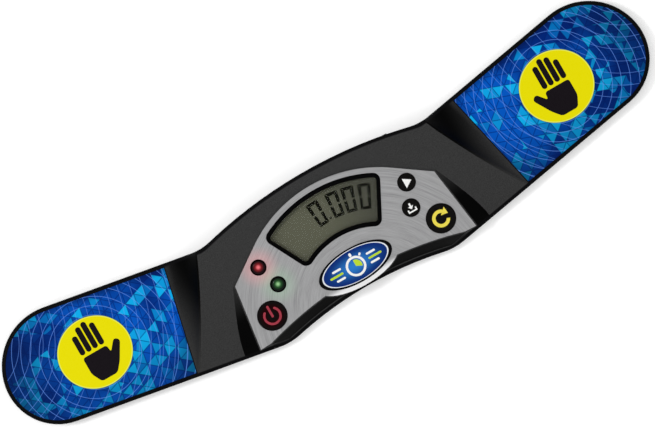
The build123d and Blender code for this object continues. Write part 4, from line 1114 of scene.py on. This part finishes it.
# %% [markdown]
# ## The numerals
# The display's numerals lie on the same rings as its edges, so each one leans a little further than the one
# before. A numeral could be put together from seven bars. A nought needs less: it is drawn upright as a
# frame, a rectangle whose inside is cut away by an inset. Thin slits then part it into the segments of a
# liquid crystal, and the frame is bent round the face centre.

# %% Make the numeral tools
STROKE = 1.75
WAIST_SLIT = 0.9
CORNER_SLIT = 0.2
MIDDLE = 0.1


def cut_slit(bm, point, way, width):
    """Cuts a thin slit through a flat shape near a point, across the given direction."""
    point, way = Vector((*point, 0)), Vector((*way, 0)).normalized()
    for side in (-0.5, 0.5):
        everything = bm.verts[:] + bm.edges[:] + bm.faces[:]
        bmesh.ops.bisect_plane(bm, geom=everything, plane_co=point + way * side * width, plane_no=way)
    offcuts = []
    for face in bm.faces:
        apart = face.calc_center_median() - point
        if abs(apart.dot(way)) < width / 2 and apart.length < STROKE:
            offcuts.append(face)
    bmesh.ops.delete(bm, geom=offcuts, context="FACES")


def upright_zero(bm, width, height):
    """The six lit segments of a nought, centred on the origin."""
    half, top = width / 2, height / 2
    corner_shape(bm, [(-half, -top), (half, -top), (half, top), (-half, top)], 0)
    bmesh.ops.inset_individual(bm, faces=bm.faces[:], thickness=STROKE, use_even_offset=True)
    inside = [f for f in bm.faces if f.calc_center_median().length < MIDDLE]
    bmesh.ops.delete(bm, geom=inside, context="FACES")
    for side in (-1, 1):
        cut_slit(bm, (side * (half - STROKE / 2), 0), (0, 1), WAIST_SLIT)
        for end in (-1, 1):
            corner = (side * (half - STROKE / 2), end * (top - STROKE / 2))
            cut_slit(bm, corner, (side, -end), CORNER_SLIT)


def merge_into(bm, other):
    """Adds one drawing to another."""
    carrier = bpy.data.meshes.new("carrier")
    other.to_mesh(carrier)
    other.free()
    bm.from_mesh(carrier)
    bpy.data.meshes.remove(carrier)


print("stroke in mm:", STROKE)

# %% Draw the numerals
DIGIT_TURNS = (-3.6, 6.7, 14.7, 23.1)
DIGIT_HALF_TURN = 3.15
DIGIT_RADII = (51.4, 65.5)
DIGIT_STEP = 1.0
POINT_TURN = math.radians(1.25)
POINT_REACH = 52.9
POINT_HALF = 0.05
POINT_WIDTH = 1.2
GLASS_RISE = -4.0
LCD_INK = 0.03
lcd_ink = ink("display_segments", (10, 10, 6), (18, 18, 12), rough=0.5)

digit_radius = sum(DIGIT_RADII) / 2
digit_width = 2 * math.radians(DIGIT_HALF_TURN) * digit_radius
digits = bmesh.new()
for turn in DIGIT_TURNS:
    digit = bmesh.new()
    upright_zero(digit, digit_width, DIGIT_RADII[1] - DIGIT_RADII[0])
    split_long_edges(digit, DIGIT_STEP)
    bmesh.ops.translate(digit, verts=digit.verts, vec=(math.radians(turn) * digit_radius, 0, 0))
    bend_round(digit, FACE_CENTRE, digit_radius)
    merge_into(digits, digit)
point_x = FACE_CENTRE[0] + POINT_REACH * math.sin(POINT_TURN)
point_y = FACE_CENTRE[1] + POINT_REACH * math.cos(POINT_TURN)
rounded_bar(digits, (point_x - POINT_HALF, point_y), (point_x + POINT_HALF, point_y), POINT_WIDTH)
lay_ink("display_digits", digits, lcd_ink, panel_spot(0, 0, GLASS_RISE), "housing", depth=LCD_INK)

# %% [markdown]
# ## The palm marks
# A yellow disc with a raised hand shows where each palm goes. The hand could be one traced outline, but a
# plain sign drawn for this part reads better: four bars for the fingers, and one rounded shape for the palm
# with its thumb. The left hand is the right one mirrored.

# %% Mix the palm marks' inks
PALM_RADIUS = 19.7
PALM_STRETCH = 1.06
PALM_YELLOW = colour(224, 214, 2)
PALM_PALE = colour(232, 224, 26)
PALM_EDGE = colour(222, 230, 96)
PALM_RING = colour(24, 74, 70)
EDGE_START = (PALM_RADIUS - 0.8, PALM_RADIUS - 0.6)
RING_START = (PALM_RADIUS - 0.25, PALM_RADIUS - 0.15)
PALM_BEYOND = (30.0, 25.0)  # from here on, a point belongs to the other palm mark
hand_ink = ink("hand_ink", (20, 16, 20), (30, 26, 30))

tree, shader, palm_yellow = new_material("palm_yellow")
place = place_of(tree)
parts = parts_of(tree, place)
fine = use_group(tree, grain_group, Place=place, Size=0.5)
shade = mix(tree, times(tree, fine["Speckle"], 0.3), PALM_YELLOW, PALM_PALE)
for palm in PALM_MARKS.values():
    sideways = over(tree, minus(tree, parts[0], palm[0]), PALM_STRETCH)
    reach = length_of(tree, sideways, minus(tree, parts[1], palm[1]))
    here = ramp(tree, reach, *PALM_BEYOND)
    for start, print_shade in ((EDGE_START, PALM_EDGE), (RING_START, PALM_RING)):
        shade = mix(tree, times(tree, ramp(tree, reach, *start), here), shade, print_shade)
roughness = ramp(tree, fine["Speckle"], 0, 1, 0.38, 0.46)
fill(tree, shader, {"Base Color": shade, "Roughness": roughness, "IOR": SATIN_IOR})
print("palm mark across, in mm:", round(2 * PALM_RADIUS * PALM_STRETCH, 1))

# %% Print the palm marks
PALM_INK = 0.04
PALM_SEGMENTS = 120
FINGERS = ((-5.7, 13.4), (-1.8, 16.0), (2.1, 14.9), (6.0, 11.4))  # each finger's x and the y of its tip
FINGER_WIDTH = 3.1
FINGER_ROOT = 3.2
PALM_CORNERS = [
    (-5.2, -15.6), (4.4, -15.6), (7.5, -9.5), (7.5, 0.2), (-7.2, 0.2),
    (-7.6, -4.2), (-12.4, 1.6), (-15.2, -0.6), (-9.4, -10.5),
]
PALM_ROUNDING = 1.5

for side, palm in PALM_MARKS.items():
    mirror = 1 if side == "right" else -1
    spot = Matrix.Translation(Vector((palm[0] * MM, palm[1] * MM, PAD_TOP)))
    above = Matrix.Translation(Vector((0, 0, PALM_INK * MM)))
    bm = bmesh.new()
    bmesh.ops.create_circle(bm, cap_ends=True, radius=PALM_RADIUS, segments=PALM_SEGMENTS)
    bmesh.ops.scale(bm, verts=bm.verts, vec=(PALM_STRETCH, 1, 1))
    lay_ink(side + "_palm_disc", bm, palm_yellow, spot, "housing", depth=PALM_INK)
    bm = bmesh.new()
    for x, tip in FINGERS:
        rounded_bar(bm, (mirror * x, FINGER_ROOT), (mirror * x, tip), FINGER_WIDTH)
    corner_shape(bm, [(mirror * x, y) for x, y in PALM_CORNERS], PALM_ROUNDING)
    lay_ink(side + "_hand_sign", bm, hand_ink, above @ spot, "housing", depth=PALM_INK)

# %% [markdown]
# ## The badge's sign
# A stopwatch says what the timer is for without any name. Its dial is a ring, its crown and button are
# short bars, and a green slice shows time running. Bars on both sides fill the oval, as if the watch were
# moving. Arcs could be worked out point by point, but two operators know them already: the ring is a disc
# cut out by an inset, and the slice is one edge spun by part of a turn.

# %% Print the stopwatch
BADGE_RISE = 0.7
WATCH_FORWARD = 0.6
DIAL_RADIUS = 5.6
DIAL_WIDTH = 1.3
DIAL_SEGMENTS = 72
BAR_WIDTH = 1.2
CROWN = {"start": (0, DIAL_RADIUS + 0.9), "end": (0, DIAL_RADIUS + 1.5), "width": 1.5}
BUTTON = {"start": (4.6, 4.6), "end": (5.0, 5.0), "width": BAR_WIDTH}
BAR_START = 8.4
SHORT_BARS = (2.9, -2.5)  # their heights on the badge
SHORT_BAR = 4.2
watch_spot = panel_spot(BADGE_CENTRE[0], BADGE_CENTRE[1] - WATCH_FORWARD, BADGE_RISE)

bm = bmesh.new()
bmesh.ops.create_circle(bm, cap_ends=True, radius=DIAL_RADIUS, segments=DIAL_SEGMENTS)
bmesh.ops.inset_individual(bm, faces=bm.faces[:], thickness=DIAL_WIDTH, use_even_offset=True)
inside = [f for f in bm.faces if len(f.verts) == DIAL_SEGMENTS]
bmesh.ops.delete(bm, geom=inside, context="FACES")
rounded_bar(bm, **CROWN)
rounded_bar(bm, **BUTTON)
for side in (-1, 1):
    for y in SHORT_BARS:
        rounded_bar(bm, (side * BAR_START, y), (side * (BAR_START + SHORT_BAR), y), BAR_WIDTH)
lay_ink("badge_stopwatch", bm, white_ink, watch_spot, "housing")

# %% Print the lime marks
SLICE_TURN = math.radians(-115)
SLICE_STEPS = 20
SLICE_GAP = 0.7
LONG_BAR = 6.8
LONG_BAR_Y = 0.2
lime_ink = ink("lime_ink", (178, 208, 40), (200, 224, 80))

bm = bmesh.new()
first = bm.verts.new((0, 0, 0))
last = bm.verts.new((0, DIAL_RADIUS - DIAL_WIDTH - SLICE_GAP, 0))
edge = bm.edges.new((first, last))
bmesh.ops.spin(
    bm, geom=[first, last, edge], cent=(0, 0, 0), axis=(0, 0, 1), angle=SLICE_TURN, steps=SLICE_STEPS
)
bmesh.ops.remove_doubles(bm, verts=bm.verts, dist=0.001)
for side in (-1, 1):
    bar_end = side * (BAR_START + LONG_BAR)
    rounded_bar(bm, (side * BAR_START, LONG_BAR_Y), (bar_end, LONG_BAR_Y), BAR_WIDTH)
lay_ink("badge_lime_marks", bm, lime_ink, watch_spot, "housing")
